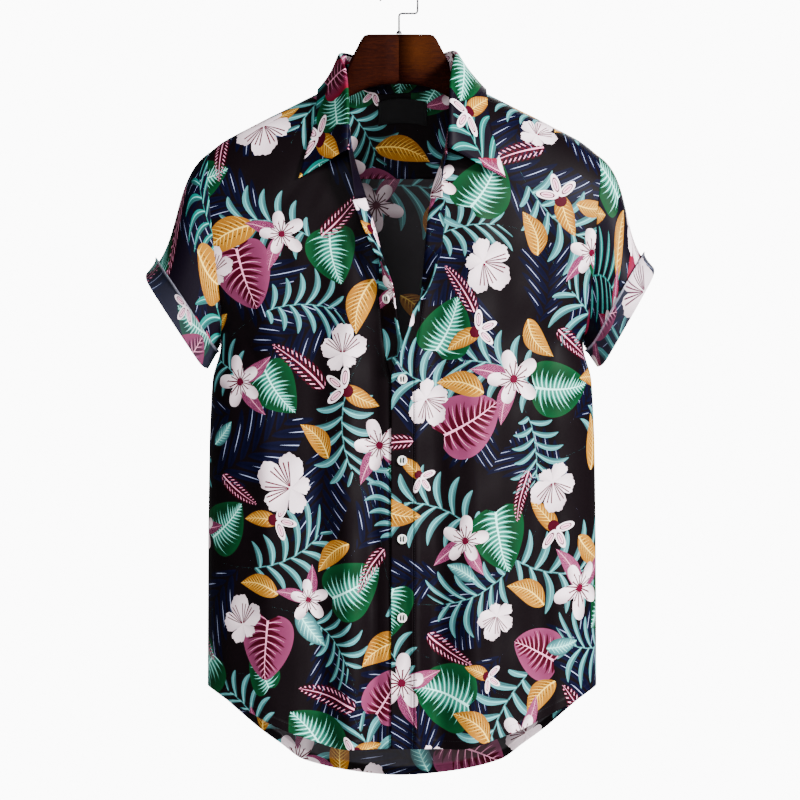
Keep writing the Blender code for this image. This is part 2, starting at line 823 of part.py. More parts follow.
def shared_normals(pieces):
    """Unit normals of each piece, one and the same along a seam that isn't a sharp crease."""
    at_point = {}
    own = {}
    for piece in pieces:
        own[piece.name] = piece.normals()
        for index in np.ndindex(piece.grid.shape[:2]):
            key = seam_key(piece.grid[index])
            at_point.setdefault(key, []).append(own[piece.name][index])
    result = {}
    for piece in pieces:
        normals = own[piece.name]
        joined = np.zeros_like(normals)
        for index in np.ndindex(piece.grid.shape[:2]):
            mine = unit(normals[index])
            total = np.zeros(3)
            for other in at_point[seam_key(piece.grid[index])]:
                if np.dot(unit(other), mine) > SEAM_COSINE:
                    total += unit(other)
            joined[index] = unit(total)
        result[piece.name] = (joined, np.array([[unit(n) for n in row] for row in normals]))
    return result


def drawn_back(grid, closed, distance):
    """Where a grid's edge points go so that each edge draws back by a distance."""
    moved = grid.copy()
    rows, columns = grid.shape[:2]

    def draw(index, neighbour, before, after):
        tangent = unit(grid[after] - grid[before])
        inward = grid[neighbour] - grid[index]
        inward = inward - tangent * np.dot(inward, tangent)
        moved[index] += unit(inward) * distance

    for j in range(columns):
        left = (j - 1) % columns if closed else max(j - 1, 0)
        right = (j + 1) % columns if closed else min(j + 1, columns - 1)
        draw((0, j), (1, j), (0, left), (0, right))
        draw((rows - 1, j), (rows - 2, j), (rows - 1, left), (rows - 1, right))
    if not closed:
        for i in range(rows):
            low = max(i - 1, 0)
            high = min(i + 1, rows - 1)
            draw((i, 0), (i, 1), (low, 0), (high, 0))
            draw((i, columns - 1), (i, columns - 2), (low, columns - 1), (high, columns - 1))
    return moved


def cloth_object(piece, normals, own, collection, material):
    """A closed wall: the grid, a copy moved in by the wall's thickness, and its edges."""
    outer = drawn_back(piece.grid, piece.closed, SEAM_GAP / 2)
    slant = np.clip(np.sum(normals * own, axis=2), LEAST_SLANT, 1.0)
    inner = outer - normals * (piece.wall / slant)[..., None]
    mesh = bmesh.new()
    front = [[mesh.verts.new(p) for p in row] for row in outer]
    rear = [[mesh.verts.new(p) for p in row] for row in inner]
    for quad in piece.quads():
        mesh.faces.new([front[i][j] for i, j in quad])
        mesh.faces.new([rear[i][j] for i, j in quad[::-1]])
    if piece.closed:
        close_ends(mesh, front, rear)
    else:
        bmesh.ops.bridge_loops(mesh, edges=[e for e in mesh.edges if e.is_boundary])
    bmesh.ops.recalc_face_normals(mesh, faces=mesh.faces)
    bmesh.ops.triangulate(mesh, faces=mesh.faces, quad_method="SHORT_EDGE")
    return add_object(piece.name, mesh, collection, material)


def close_ends(mesh, front, rear):
    """The two ring-shaped edges of a tube's wall."""
    for i in (0, len(front) - 1):
        count = len(front[i])
        for j in range(count):
            k = (j + 1) % count
            mesh.faces.new((front[i][j], front[i][k], rear[i][k], rear[i][j]))


def add_object(name, mesh, collection, material):
    data = bpy.data.meshes.new(name)
    mesh.to_mesh(data)
    mesh.free()
    data.shade_smooth()
    data.set_sharp_from_angle(angle=math.radians(40))
    data.materials.append(material)
    piece = bpy.data.objects.new(name, data)
    collection.objects.link(piece)
    return piece


def finish(name, colour, roughness, metallic=0.0):
    material = bpy.data.materials.new(name)
    material.use_nodes = True
    shader = material.node_tree.nodes["Principled BSDF"]
    shader.inputs["Base Color"].default_value = (*colour, 1.0)
    shader.inputs["Roughness"].default_value = roughness
    shader.inputs["Metallic"].default_value = metallic
    return material


# ---------------------------------------------------------------- buttons and label

def button(name, place, normal, standoff, collection, material):
    """A round button, lying on a band just clear of its cloth."""
    mesh = bmesh.new()
    bmesh.ops.create_cone(mesh, cap_ends=True, segments=BUTTON_SIDES, radius1=BUTTON_RADIUS,
                          radius2=BUTTON_RADIUS, depth=BUTTON_THICKNESS)
    rims = [e for e in mesh.edges if len(e.link_faces) == 2
            and abs(e.link_faces[0].normal.z - e.link_faces[1].normal.z) > 0.5]
    bmesh.ops.bevel(mesh, geom=rims, offset=BUTTON_THICKNESS * BUTTON_ROUND,
                    offset_type="OFFSET", segments=1, profile=0.5, affect="EDGES", material=-1)
    piece = add_object(name, mesh, collection, material)
    out = unit(normal)
    side = unit(np.cross((0.0, 0.0, 1.0), out))
    up = np.cross(out, side)
    middle = place + out * (standoff + BUTTON_THICKNESS / 2)
    rows = [(side[i], up[i], out[i], middle[i]) for i in range(3)]
    piece.matrix_world = Matrix(rows + [(0.0, 0.0, 0.0, 1.0)])
    return piece


def place_on_band(band, z):
    """The middle of a band at a height, and the direction out of its cloth."""
    column = BAND_STEPS.index(BAND_WIDTH / 2)
    heights = [row[column][2] for row in band]
    i = max(k for k in range(len(heights) - 1) if heights[k] <= z)
    share = (z - heights[i]) / (heights[i + 1] - heights[i])
    low = band[i][column]
    high = band[i + 1][column]
    across = (band[i + 1][column + 1] - band[i + 1][column - 1]) * share
    across = across + (band[i][column + 1] - band[i][column - 1]) * (1 - share)
    normal = unit(np.cross(across, high - low))
    return low + (high - low) * share, normal if normal[1] < 0 else -normal


def label_grid():
    """The label hangs inside the back of the neck, just clear of the yoke."""
    rows = []
    for turn in LABEL_TURNS:
        row = []
        for share in np.linspace(-1, 1, LABEL_COLUMNS):
            x = LABEL_X + share * LABEL_HALF_WIDTH
            normal = shoulder_normal(x, turn)
            inside = CLOTH + LABEL_GAP + LABEL_THICKNESS
            row.append(over_shoulder(x, turn) - normal * inside)
        rows.append(row)
    return np.array(rows)


# ---------------------------------------------------------------- hanger

def hanger_stations(side):
    """Sections of one half: how far out, top, bottom and half thickness."""
    stations = list(HANGER_NECK)
    for k in range(HANGER_ARM_STATIONS):
        share = k / (HANGER_ARM_STATIONS - 1)
        out = HANGER_ARM_START + (HANGER_ARM_END - HANGER_ARM_START) * share
        top = ridge(side * out) - HANGER_TOP_CLEARANCE
        deep = HANGER_ARM_DEEP + (HANGER_TIP_DEEP - HANGER_ARM_DEEP) * share
        half = HANGER_NECK[-1][3] + (HANGER_TIP_HALF - HANGER_NECK[-1][3]) * share
        stations.append((out, top, top - deep, half))
    out, top, bottom, half = stations[-1]
    stations.append((out + HANGER_END_LENGTH, top - HANGER_END_DROP,
                     bottom + HANGER_END_RISE, half * HANGER_END_SHARE))
    return stations


def hanger_section(x, top, bottom, half):
    """A section with a round upper and a round lower edge."""
    arch = min(half, (top - bottom) * HANGER_ROUND)
    points = []
    for start, middle in ((0.0, top - arch), (math.pi, bottom + arch)):
        for k in range(HANGER_ROUND_STEPS + 1):
            angle = start + math.pi * k / HANGER_ROUND_STEPS
            points.append((x, half * math.cos(angle), middle + arch * math.sin(angle)))
    return points


def hanger_half(name, side, collection, material):
    mesh = bmesh.new()
    loops = []
    for out, top, bottom, half in hanger_stations(side):
        x = side * max(out, SEAM_GAP / 2)
        loops.append([mesh.verts.new(p) for p in hanger_section(x, top, bottom, half)])
    count = len(loops[0])
    for near, far in zip(loops, loops[1:]):
        for j in range(count):
            k = (j + 1) % count
            mesh.faces.new((near[j], near[k], far[k], far[j]))
    mesh.faces.new(loops[0])
    mesh.faces.new(loops[-1])
    bmesh.ops.recalc_face_normals(mesh, faces=mesh.faces)
    bmesh.ops.triangulate(mesh, faces=mesh.faces)
    return add_object(name, mesh, collection, material)


def arc(centre_x, centre_z, radius, start, end, count):
    """Points on an arc in the hanger's plane, angles in degrees."""
    points = []
    for k in range(count + 1):
        angle = math.radians(start + (end - start) * k / count)
        points.append((centre_x + radius * math.cos(angle), 0.0,
                       centre_z + radius * math.sin(angle)))
    return points


def hook(collection, material):
    """Wire: up from the wood, a short run to the side, up again and over the rail."""
    arch_z = HOOK_WIRE - HOOK_RADIUS
    points = [(0.0, 0.0, HOOK_FOOT)]
    points += arc(HOOK_CORNER, HOOK_JOG - HOOK_CORNER, HOOK_CORNER, 180, 90,
                  HOOK_CORNER_STEPS)
    points += arc(HOOK_RADIUS - HOOK_CORNER, HOOK_JOG + HOOK_CORNER, HOOK_CORNER, -90, 0,
                  HOOK_CORNER_STEPS)
    points += arc(0.0, arch_z, HOOK_RADIUS, 0, 180, HOOK_ARCH_STEPS)
    points.append((-HOOK_RADIUS, 0.0, arch_z - HOOK_TIP))
    curve = bpy.data.curves.new("hanger_hook", "CURVE")
    curve.dimensions = "3D"
    curve.bevel_depth = HOOK_WIRE
    curve.bevel_resolution = 2
    curve.use_fill_caps = True
    spline = curve.splines.new("POLY")
    spline.points.add(len(points) - 1)
    for target, point in zip(spline.points, points):
        target.co = (*point, 1.0)
    curve.materials.append(material)
    wire = bpy.data.objects.new("hanger_hook", curve)
    collection.objects.link(wire)
    return wire


def ferrule(collection, material):
    """A small flared collar on the wood, round the wire."""
    foot = HANGER_NECK[0][1] + SEAM_GAP
    profile = ((FERRULE_BORE, foot + FERRULE_HEIGHT), (FERRULE_TOP_RADIUS, foot + FERRULE_HEIGHT),
               (FERRULE_FOOT_RADIUS, foot), (FERRULE_BORE, foot))
    mesh = bmesh.new()
    corners = [mesh.verts.new((x, 0.0, z)) for x, z in profile]
    for a, b in zip(corners, corners[1:] + corners[:1]):
        mesh.edges.new((a, b))
    piece = add_object("hook_ferrule", mesh, collection, material)
    turned = piece.modifiers.new("turned", "SCREW")
    turned.axis = "Z"
    turned.steps = 16
    turned.render_steps = 16
    turned.use_merge_vertices = True
    turned.merge_threshold = 0.00005
    return piece


# ---------------------------------------------------------------- the whole shirt

def build():
    for old in list(bpy.data.objects):
        bpy.data.objects.remove(old, do_unlink=True)
    shirt = bpy.data.collections.new("hawaiian_shirt")
    bpy.context.scene.collection.children.link(shirt)

    print_cloth = finish("printed_cloth", (0.035, 0.03, 0.045), 0.75)
    wrong_side = finish("cloth_wrong_side", (0.22, 0.26, 0.28), 0.8)
    woven_label = finish("woven_label", (0.01, 0.01, 0.01), 0.7)
    button_white = finish("button_white", (0.85, 0.84, 0.8), 0.3)
    walnut = finish("walnut", (0.1, 0.035, 0.018), 0.35)
    steel = finish("dark_steel", (0.25, 0.24, 0.23), 0.3, 1.0)

    right_front = front_grid(RIGHT)
    left_front = front_grid(LEFT)
    back = back_grid()
    yoke = yoke_grid(back[-1], right_front, left_front)
    right_band = band_grid(RIGHT, right_front)
    left_band = band_grid(LEFT, left_front)

    pieces = [
        Piece("front_right", right_front, flip=True),
        Piece("front_left", left_front),
        Piece("back", back, flip=True),
        Piece("yoke", yoke, flip=True),
        Piece("front_band_right", right_band),
        Piece("front_band_left", left_band, flip=True),
    ]
    neck = neckline(right_front, yoke, left_front)
    neck_normals = {}
    for piece in pieces[:4]:    # the fronts, the back and the yoke
        grid_normals = piece.normals()
        for index in np.ndindex(piece.grid.shape[:2]):
            key = seam_key(piece.grid[index])
            neck_normals[key] = neck_normals.get(key, 0) + unit(grid_normals[index])
    stand = stand_grid(neck, [unit(neck_normals[seam_key(p)]) for p in neck])
    leaf = leaf_grid(stand)
    pieces.append(Piece("collar_stand", stand, flip=True))
    pieces.append(Piece("collar_leaf", leaf, flip=True))
    pieces.append(Piece("neck_label", label_grid(), flip=True, wall=LABEL_THICKNESS))

    fronts = {RIGHT: right_front, LEFT: left_front}
    for name, side, top_out, top_z, bottom_out, bottom_z in SLEEVES:
        loop, low = armhole_loop(side, fronts[side], back, yoke)
        curves = sleeve_curves(side, loop, low, top_out, top_z, bottom_out, bottom_z)
        sleeve = Piece("sleeve_" + name, sleeve_grid(curves), True, side == RIGHT)
        pieces.append(sleeve)
        pieces.append(Piece("cuff_" + name, cuff_grid(sleeve), True, side == RIGHT))

    normals = shared_normals(pieces)
    for piece in pieces:
        material = print_cloth
        if piece.name.startswith("cuff"):
            material = wrong_side
        if piece.name == "neck_label":
            material = woven_label
        joined, own = normals[piece.name]
        cloth_object(piece, joined, own, shirt, material)

    bands = {"right": right_band, "left": left_band}
    for k, (band, z, standoff) in enumerate(BUTTONS):
        place, normal = place_on_band(bands[band], z)
        button("button_%d" % (k + 1), place, normal, standoff, shirt, button_white)

    hanger_half("hanger_half_right", RIGHT, shirt, walnut)
    hanger_half("hanger_half_left", LEFT, shirt, walnut)
    hook(shirt, steel)
    ferrule(shirt, steel)


build()
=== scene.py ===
"""A short-sleeved Hawaiian shirt on a wooden hanger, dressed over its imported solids.

Metres, +Z up. The front faces -Y, and the wearer's left is at +X.
"""
import math

import bmesh
import bpy
import numpy as np
from mathutils import Matrix, Vector


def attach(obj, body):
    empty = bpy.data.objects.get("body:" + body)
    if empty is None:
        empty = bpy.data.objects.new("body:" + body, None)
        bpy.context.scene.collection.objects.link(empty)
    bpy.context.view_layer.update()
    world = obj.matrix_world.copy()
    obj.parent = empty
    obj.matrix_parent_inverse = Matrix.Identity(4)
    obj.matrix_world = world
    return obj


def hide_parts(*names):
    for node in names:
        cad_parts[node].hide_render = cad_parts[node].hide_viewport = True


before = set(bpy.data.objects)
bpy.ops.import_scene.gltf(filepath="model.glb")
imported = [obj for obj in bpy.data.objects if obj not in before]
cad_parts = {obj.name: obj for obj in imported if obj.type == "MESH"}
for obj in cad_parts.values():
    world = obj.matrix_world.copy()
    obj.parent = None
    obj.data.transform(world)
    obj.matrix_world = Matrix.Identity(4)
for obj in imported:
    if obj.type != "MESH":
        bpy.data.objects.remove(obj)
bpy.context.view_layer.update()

# ================================================================ studio
# The camera stands far off at the height of the shirt's middle, so the cloth shows nearly as
# flat as a drawing. A pale floor lies well below the hem, and the light is soft and frontal.

SENSOR_WIDTH = 36.0         # of the camera, in millimetres
VIEW_DISTANCE = 7.0
VIEW_WIDTH = 0.880          # across the picture, in the plane that the camera is set for
VIEW_PLANE_Y = -0.040
VIEW_X = 0.0011
VIEW_Z = -0.4688
FLOOR_Z = -1.45
FLOOR_HALF_WIDTH = 3.0
PAPER = (0.86, 0.86, 0.86, 1.0)
ROOM_LIGHT = 0.14           # what the white walls give
ROOM_SEEN = 11.0            # how bright they look
LAMP_AIM = (0.0, 0.0, -0.45)
LAMPS = (
    # name, place, size, power
    ("key", (2.3, -2.2, 1.1), 0.7, 450.0),
    ("fill", (-0.5, -3.0, 0.7), 1.4, 55.0),
    ("back", (0.6, 2.4, 0.8), 1.6, 50.0),
)


def put(name, data):
    """A new object in the scene."""
    made = bpy.data.objects.new(name, data)
    bpy.context.scene.collection.objects.link(made)
    return made


def object_from(shape, name, *materials):
    """An object made from a bmesh, which is used up."""
    mesh = bpy.data.meshes.new(name)
    shape.to_mesh(mesh)
    shape.free()
    for material in materials:
        mesh.materials.append(material)
    return put(name, mesh)


def new_material(name):
    """A material and its shader's inputs."""
    material = bpy.data.materials.new(name)
    material.use_nodes = True
    return material, material.node_tree.nodes["Principled BSDF"].inputs


eye = bpy.data.cameras.new("eye")
eye.sensor_width = SENSOR_WIDTH
eye.lens = SENSOR_WIDTH * VIEW_DISTANCE / VIEW_WIDTH
eye.clip_end = 50.0
camera = put("camera", eye)
camera.location = (VIEW_X, VIEW_PLANE_Y - VIEW_DISTANCE, VIEW_Z)
camera.rotation_euler = (math.radians(90), 0.0, 0.0)
bpy.context.scene.camera = camera

paper, paper_inputs = new_material("studio_paper")
paper_inputs["Base Color"].default_value = PAPER
paper_inputs["Roughness"].default_value = 0.9
slab = bmesh.new()
bmesh.ops.create_grid(slab, x_segments=1, y_segments=1, size=FLOOR_HALF_WIDTH)
bmesh.ops.translate(slab, verts=slab.verts, vec=(0.0, 0.0, FLOOR_Z))
object_from(slab, "studio_floor", paper)

for lamp_name, place, size, power in LAMPS:
    lamp = bpy.data.lights.new(lamp_name, "AREA")
    lamp.size = size
    lamp.energy = power
    lamp_object = put(lamp_name, lamp)
    lamp_object.location = place
    aim = Vector(LAMP_AIM) - Vector(place)
    lamp_object.rotation_euler = aim.to_track_quat("-Z", "Y").to_euler()

room = bpy.data.worlds.new("white_room")
room.use_nodes = True
backdrop = room.node_tree.nodes["Background"]
backdrop.inputs["Color"].default_value = (1.0, 1.0, 1.0, 1.0)
seen = room.node_tree.nodes.new("ShaderNodeLightPath")
brightness = room.node_tree.nodes.new("ShaderNodeMapRange")
brightness.inputs["To Min"].default_value = ROOM_LIGHT
brightness.inputs["To Max"].default_value = ROOM_SEEN
room.node_tree.links.new(seen.outputs["Is Camera Ray"], brightness.inputs["Value"])
room.node_tree.links.new(brightness.outputs["Result"], backdrop.inputs["Strength"])
bpy.context.scene.world = room

# ================================================================ printed cloth
# Light cotton poplin, printed on its right side with leaves, fronds and flowers on a
# near-black ground. The wrong side shows the same print pale and greyed.

CLOTH_THICK = 0.0007
WEAVE_PITCH = 0.0005
PRINT_CELL = 0.172          # pitch of the print's lattice
PRINT_TURN = math.radians(24)
PRINT_SCATTER = 0.16
FULL_TURN = 2 * math.pi
FAR_OFF = 9.0               # in a motif's radii, where a cell goes without it
TINY = 0.001                # the least that a place is divided by

# The dyes, as the light that each returns.
GROUND = (0.0014, 0.0006, 0.0011, 1.0)
GROUND_LIGHT = (0.0044, 0.0023, 0.0032, 1.0)
GROUND_BLUE = (0.0014, 0.0009, 0.0060, 1.0)
NAVY = (0.0010, 0.0012, 0.0080, 1.0)
NAVY_LIGHT = (0.0028, 0.0033, 0.0185, 1.0)
STREAK = (0.33, 0.38, 0.58, 1.0)
TEAL = (0.021, 0.064, 0.068, 1.0)
TEAL_DARK = (0.010, 0.036, 0.040, 1.0)
AQUA = (0.066, 0.235, 0.248, 1.0)
TURQUOISE = (0.004, 0.150, 0.128, 1.0)
PALE_AQUA = (0.16, 0.50, 0.49, 1.0)
GREEN = (0.001, 0.018, 0.006, 1.0)
GREEN_LIGHT = (0.002, 0.042, 0.012, 1.0)
VEIN_AQUA = (0.026, 0.190, 0.140, 1.0)
VEIN_WHITE = (0.38, 0.90, 0.80, 1.0)
PINK = (0.172, 0.031, 0.082, 1.0)
PINK_DEEP = (0.125, 0.020, 0.056, 1.0)
MAUVE = (0.100, 0.012, 0.047, 1.0)
CRIMSON = (0.170, 0.001, 0.015, 1.0)
BURGUNDY = (0.040, 0.001, 0.006, 1.0)
STAMEN = (0.075, 0.002, 0.014, 1.0)
PALE_PINK = (0.88, 0.32, 0.50, 1.0)
OCHRE = (0.318, 0.126, 0.009, 1.0)
OCHRE_DARK = (0.200, 0.070, 0.006, 1.0)
CREAM = (0.90, 0.58, 0.11, 1.0)
SEED_DOT = (0.025, 0.008, 0.002, 1.0)
PETAL = (0.90, 0.74, 0.80, 1.0)
PETAL_SHADE = (0.42, 0.30, 0.34, 1.0)
PARTING = (0.147, 0.080, 0.118, 1.0)
WRONG_SIDE = (0.075, 0.070, 0.078, 1.0)
TURNED_UP = (0.034, 0.038, 0.064, 1.0)
# pale grey painted along the cuffs' rolled edge, a painted highlight on the fold
PALE_EDGE_HIGHLIGHT = (0.34, 0.34, 0.42, 1.0)

def plain(value):
    """The socket of an amount, and any other value as it is."""
    return getattr(value, "socket", value)


def set_input(slot, value):
    """Link an input to an amount or a socket, or set its value."""
    value = plain(value)
    if isinstance(value, bpy.types.NodeSocket):
        slot.id_data.links.new(value, slot)
    else:
        slot.default_value = value


def maths_method(operation, *fixed):
    return lambda amount, *others: amount.maths(operation, *fixed, *others)


class Amount:
    """A number that varies over the cloth. Arithmetic on it lays Math nodes."""

    def __init__(self, socket):
        self.socket = socket

    def maths(self, operation, *others, clamp=False):
        node = self.socket.id_data.nodes.new("ShaderNodeMath")
        node.operation = operation
        node.use_clamp = clamp
        for slot, value in zip(node.inputs, (self, *others)):
            set_input(slot, value)
        return Amount(node.outputs[0])

    def clamped(self):
        return self.maths("ADD", 0.0, clamp=True)

    __add__ = __radd__ = maths_method("ADD")
    __sub__ = maths_method("SUBTRACT")
    __rsub__ = maths_method("MULTIPLY_ADD", -1.0)
    __mul__ = __rmul__ = maths_method("MULTIPLY")
    __truediv__ = maths_method("DIVIDE")
    __pow__ = maths_method("POWER")
    __abs__ = maths_method("ABSOLUTE")
    __lt__ = maths_method("LESS_THAN")
    __gt__ = maths_method("GREATER_THAN")
    __or__ = at_least = maths_method("MAXIMUM")     # the first form joins two masks
    at_most = maths_method("MINIMUM")
    sine = maths_method("SINE")
    cosine = maths_method("COSINE")
    floor = maths_method("FLOOR")
    fraction = maths_method("FRACT")
    pingpong = maths_method("PINGPONG")


def by_name(sockets):
    """The sockets in use, by name, and those of numbers as amounts."""
    return {slot.name: Amount(slot) if slot.type == "VALUE" else slot
            for slot in sockets if slot.enabled}


def lay_whole(kind, *values, tree=None, **settings):
    """A shader node, with its settings and the values or sockets of its inputs. All its
    outputs come back, by name."""
    if not tree:
        tree = next(value.id_data for value in map(plain, values)
                    if isinstance(value, bpy.types.NodeSocket))
    node = tree.nodes.new("ShaderNode" + kind)
    for key, value in settings.items():
        setattr(node, key, value)
    for slot, value in zip([slot for slot in node.inputs if slot.enabled], values):
        if value is not None:
            set_input(slot, value)
    return by_name(node.outputs)


def lay(kind, *values, **settings):
    """The first output of a shader node."""
    return next(iter(lay_whole(kind, *values, **settings).values()))


def vector(operation, *values):
    return lay("VectorMath", *values, operation=operation)


def parts(place):
    return list(lay_whole("SeparateXYZ", place).values())


def turned_by(spot, angle):
    return lay("VectorRotate", spot, (0.0, 0.0, 0.0), angle, rotation_type="Z_AXIS")


def noise(place, roughness, detail=15.0, lacunarity=2.0, distortion=0.0):
    return lay("TexNoise", place, 5.0, detail, roughness, lacunarity, distortion)


def bump(strength, distance, height, **settings):
    return lay("Bump", strength, distance, None, height, **settings)


def over(below, above, cover):
    """One colour over another, where cover is 1."""
    return lay("Mix", cover, below, above, data_type="RGBA")


def new_group(name, inputs, outputs):
    """A node group, its inputs and the slots of its outputs."""
    kinds = {"Spot": "Vector", "Place": "Vector", "Color": "Color"}
    group = bpy.data.node_groups.new(name, "ShaderNodeTree")
    for direction, sockets in (("INPUT", inputs), ("OUTPUT", outputs)):
        for socket_name in sockets:
            kind = "NodeSocket" + kinds.get(socket_name, "Float")
            group.interface.new_socket(socket_name, in_out=direction, socket_type=kind)
    start = group.nodes.new("NodeGroupInput")
    end = group.nodes.new("NodeGroupOutput")
    return group, by_name(start.outputs), end.inputs


def give(slots, values):
    """Link or set named inputs."""
    for name, value in values.items():
        set_input(slots[name], value)


def use(group, **values):
    """A group's outputs, by name. Its first value is a socket of the tree that it goes in."""
    node = plain(next(iter(values.values()))).id_data.nodes.new("ShaderNodeGroup")
    node.node_tree = group
    give(node.inputs, values)
    return by_name(node.outputs)


# Where a motif lies in its cell. Spot is the place seen from the motif's middle, turned with
# it and in units of its radius. Share is the share of the cells that have the motif.
motif_place, given, result = new_group(
    "motif_place", ("Place", "Seed", "Scatter", "Reach", "Share"), ("Spot",))
cell = vector("FLOOR", given["Place"])
dice = lay_whole("TexWhiteNoise", cell, given["Seed"], noise_dimensions="4D")
middle = vector("SUBTRACT", dice["Color"], (0.5, 0.5, 0.5))
middle = vector("MULTIPLY_ADD", middle, given["Scatter"], (0.5, 0.5, 0.0))
inside = vector("SUBTRACT", vector("FRACTION", given["Place"]), middle)
turned = turned_by(inside, dice["Value"] * FULL_TURN)
chance = vector("FRACTION", vector("MULTIPLY", dice["Color"], (7.31, 7.31, 7.31)))
reach = ((dice["Value"] * 31.7).fraction() * 0.46 + 0.82) * given["Reach"]
scaled = vector("SCALE", turned, reach)
absent = (parts(chance)[2] > given["Share"]) * FAR_OFF
give(result, {"Spot": vector("ADD", scaled, lay("CombineXYZ", absent, absent, 0.0))})

# A leaf from its base at y -1 to its tip at y 1: how far out to its edge a place lies, and a
# wave that is 0 on each side vein and 1 halfway between two.
LEAF_FORM = ("Bend", "Width", "Base", "Tip", "Veins", "Lean", "Fan", "Notch")
leaf_form, given, result = new_group(
    "leaf_form", ("Spot", *LEAF_FORM), ("Cover", "Out", "Vein", "Own", "Rib", "Side"))
x, y, z = parts(given["Spot"])
x = x + given["Bend"] * (y * y - 0.4)
off = abs(x)
half = (y + 1.0) ** given["Base"] * (1.0 - y) ** given["Tip"]
out = off / (half * given["Width"]).at_least(TINY)
side = x > 0.0
root = (y - given["Lean"] * off - off * off * 0.5) / (given["Fan"] * off + 1.0)
count = root * given["Veins"] + side * 0.5
key = lay("CombineXYZ", (count + 0.5).floor(), side, 0.0)
own = lay("TexWhiteNoise", key, noise_dimensions="2D")
cover = (out < 1.0) * (abs(y) < 1.0) * (y + 1.0 > given["Notch"] * (0.34 - off))
give(result, {"Cover": cover, "Out": out, "Vein": count.pingpong(0.5) * 2.0, "Own": own,
              "Rib": off / (1.25 - y), "Side": side})

# A frond: blades on both sides of a rib. Across is the place across a blade, in shares of
# their pitch, and Along is how far out on its blade a place lies.
frond_form, given, result = new_group(
    "frond_form", ("Spot", "Bend", "Blades", "Lean", "Fan", "Curl", "Fill"),
    ("Cover", "Across", "Along", "Rib"))
x, y, z = parts(given["Spot"])
x = x + given["Bend"] * (y * y - 0.3)
off = abs(x)
side = x > 0.0
root = y - given["Lean"] * off + given["Curl"] * off * off
root = root / (given["Fan"] * off + 1.0)
pitch = root * given["Blades"] + side * 0.4
number = pitch.floor()
across = pitch - number - 0.5
own = lay("TexWhiteNoise", lay("CombineXYZ", number, side, 0.0), noise_dimensions="2D")
length = (1.0 - root * root).at_least(0.0) ** 0.5 * (own * 0.35 + 0.72)
along = off / length.at_least(TINY)
width = (along + 0.02) ** 0.45 * (1.0 - along) ** 0.75 * given["Fill"]
give(result, {"Cover": abs(across) < width, "Across": across, "Along": along,
              "Rib": (off < 0.017) * (abs(y) < 0.9)})

# The print itself. Rich is 1 on pieces whose dyes look deeper, in crimson and turquoise.
hawaiian_print, given, result = new_group("hawaiian_print", ("Place", "Rich"), ("Color",))
mottle = noise(given["Place"], 2.0)
colour = over(over(GROUND, GROUND_BLUE, given["Rich"]), GROUND_LIGHT, mottle)
pinks = over(PINK, CRIMSON, given["Rich"])
aquas = over(AQUA, TURQUOISE, given["Rich"])


def motif(*sets):
    """The spot of one motif, printed once a cell for each set: the set's offset in cells,
    its seed, its radius and the share of cells that have it."""
    nearest = None
    for offset, seed, radius, share in sets:
        lattice = lay("Mapping", given["Place"], (*offset, seed), (0.0, 0.0, PRINT_TURN),
                      (1 / PRINT_CELL,) * 3)
        spot = use(motif_place, Place=lattice, Seed=seed, Scatter=PRINT_SCATTER,
                   Reach=PRINT_CELL / radius, Share=share)["Spot"]
        away = vector("LENGTH", spot)
        if nearest:
            spot = lay("Mix", away < nearest[1], nearest[0], spot, data_type="VECTOR")
            away = away.at_most(nearest[1])
        nearest = spot, away
    return nearest[0]


def print_leaf(spot, form, dyes, strokes, glow=None, half_dye=None, bare=False):
    """Print a leaf over the colour so far. A stroke has a dye, a width, how fast it tapers,
    where it lies between two veins (0 on one, 1 halfway), and where it starts and ends."""
    leaf = use(leaf_form, Spot=spot, **dict(zip(LEAF_FORM, form)))
    out, vein = leaf["Out"], leaf["Vein"]
    short = out * (leaf["Own"] * 0.8 + 0.7)
    rib = leaf["Rib"] < 0.010 + 0.010 * form[1]
    shade, cover = over(*dyes, out * out), rib
    if half_dye:
        shade = over(shade, half_dye, leaf["Side"] * 0.6)
    if glow:
        shade = over(shade, glow[0], (1.0 - short * glow[1]) * glow[2])
    for stroke_dye, wide, taper, between, start, end in strokes:
        near = abs(vein - between) < wide * (1.0 - short * taper)
        if start > 0.0 or end < 1.0:
            near = near * (abs(out - (start + end) / 2) < (end - start) / 2)
        shade = over(shade, stroke_dye, near)
        cover = cover | near
    shade = over(shade, strokes[-1][0], rib)
    return over(colour, shade, cover * leaf["Cover"] if bare else leaf["Cover"])


def sprung_from(spot, turn, start, size=1.0):
    """The spot of a leaf that springs from a flower's middle."""
    return vector("MULTIPLY_ADD", turned_by(spot, turn), (1 / size,) * 3, (0.0, -start, 0.0))


def round_about(x, y):
    """The heading of a place from a flower's middle, and its distance."""
    return y.maths("ARCTAN2", x), (x * x + y * y) ** 0.5


# navy fronds, each blade with a thin white streak
spot = motif(((0.5, 0.5), 3.0, 0.052, 1.0), ((0.0, 0.45), 11.0, 0.050, 0.6),
             ((0.25, 0.95), 13.0, 0.046, 0.35))
frond = use(frond_form, Spot=spot, Bend=0.15, Blades=3.3, Lean=1.25, Fan=0.15, Curl=0.20,
            Fill=0.85)
across, along = frond["Across"], frond["Along"]
shade = over(NAVY, NAVY_LIGHT, abs(across) * 1.8)
streak = abs(across - 0.04) < 0.56 * (along - 0.25) * (0.75 - along)
shade = over(shade, STREAK, streak * (along > 0.25))
colour = over(colour, shade, frond["Cover"])

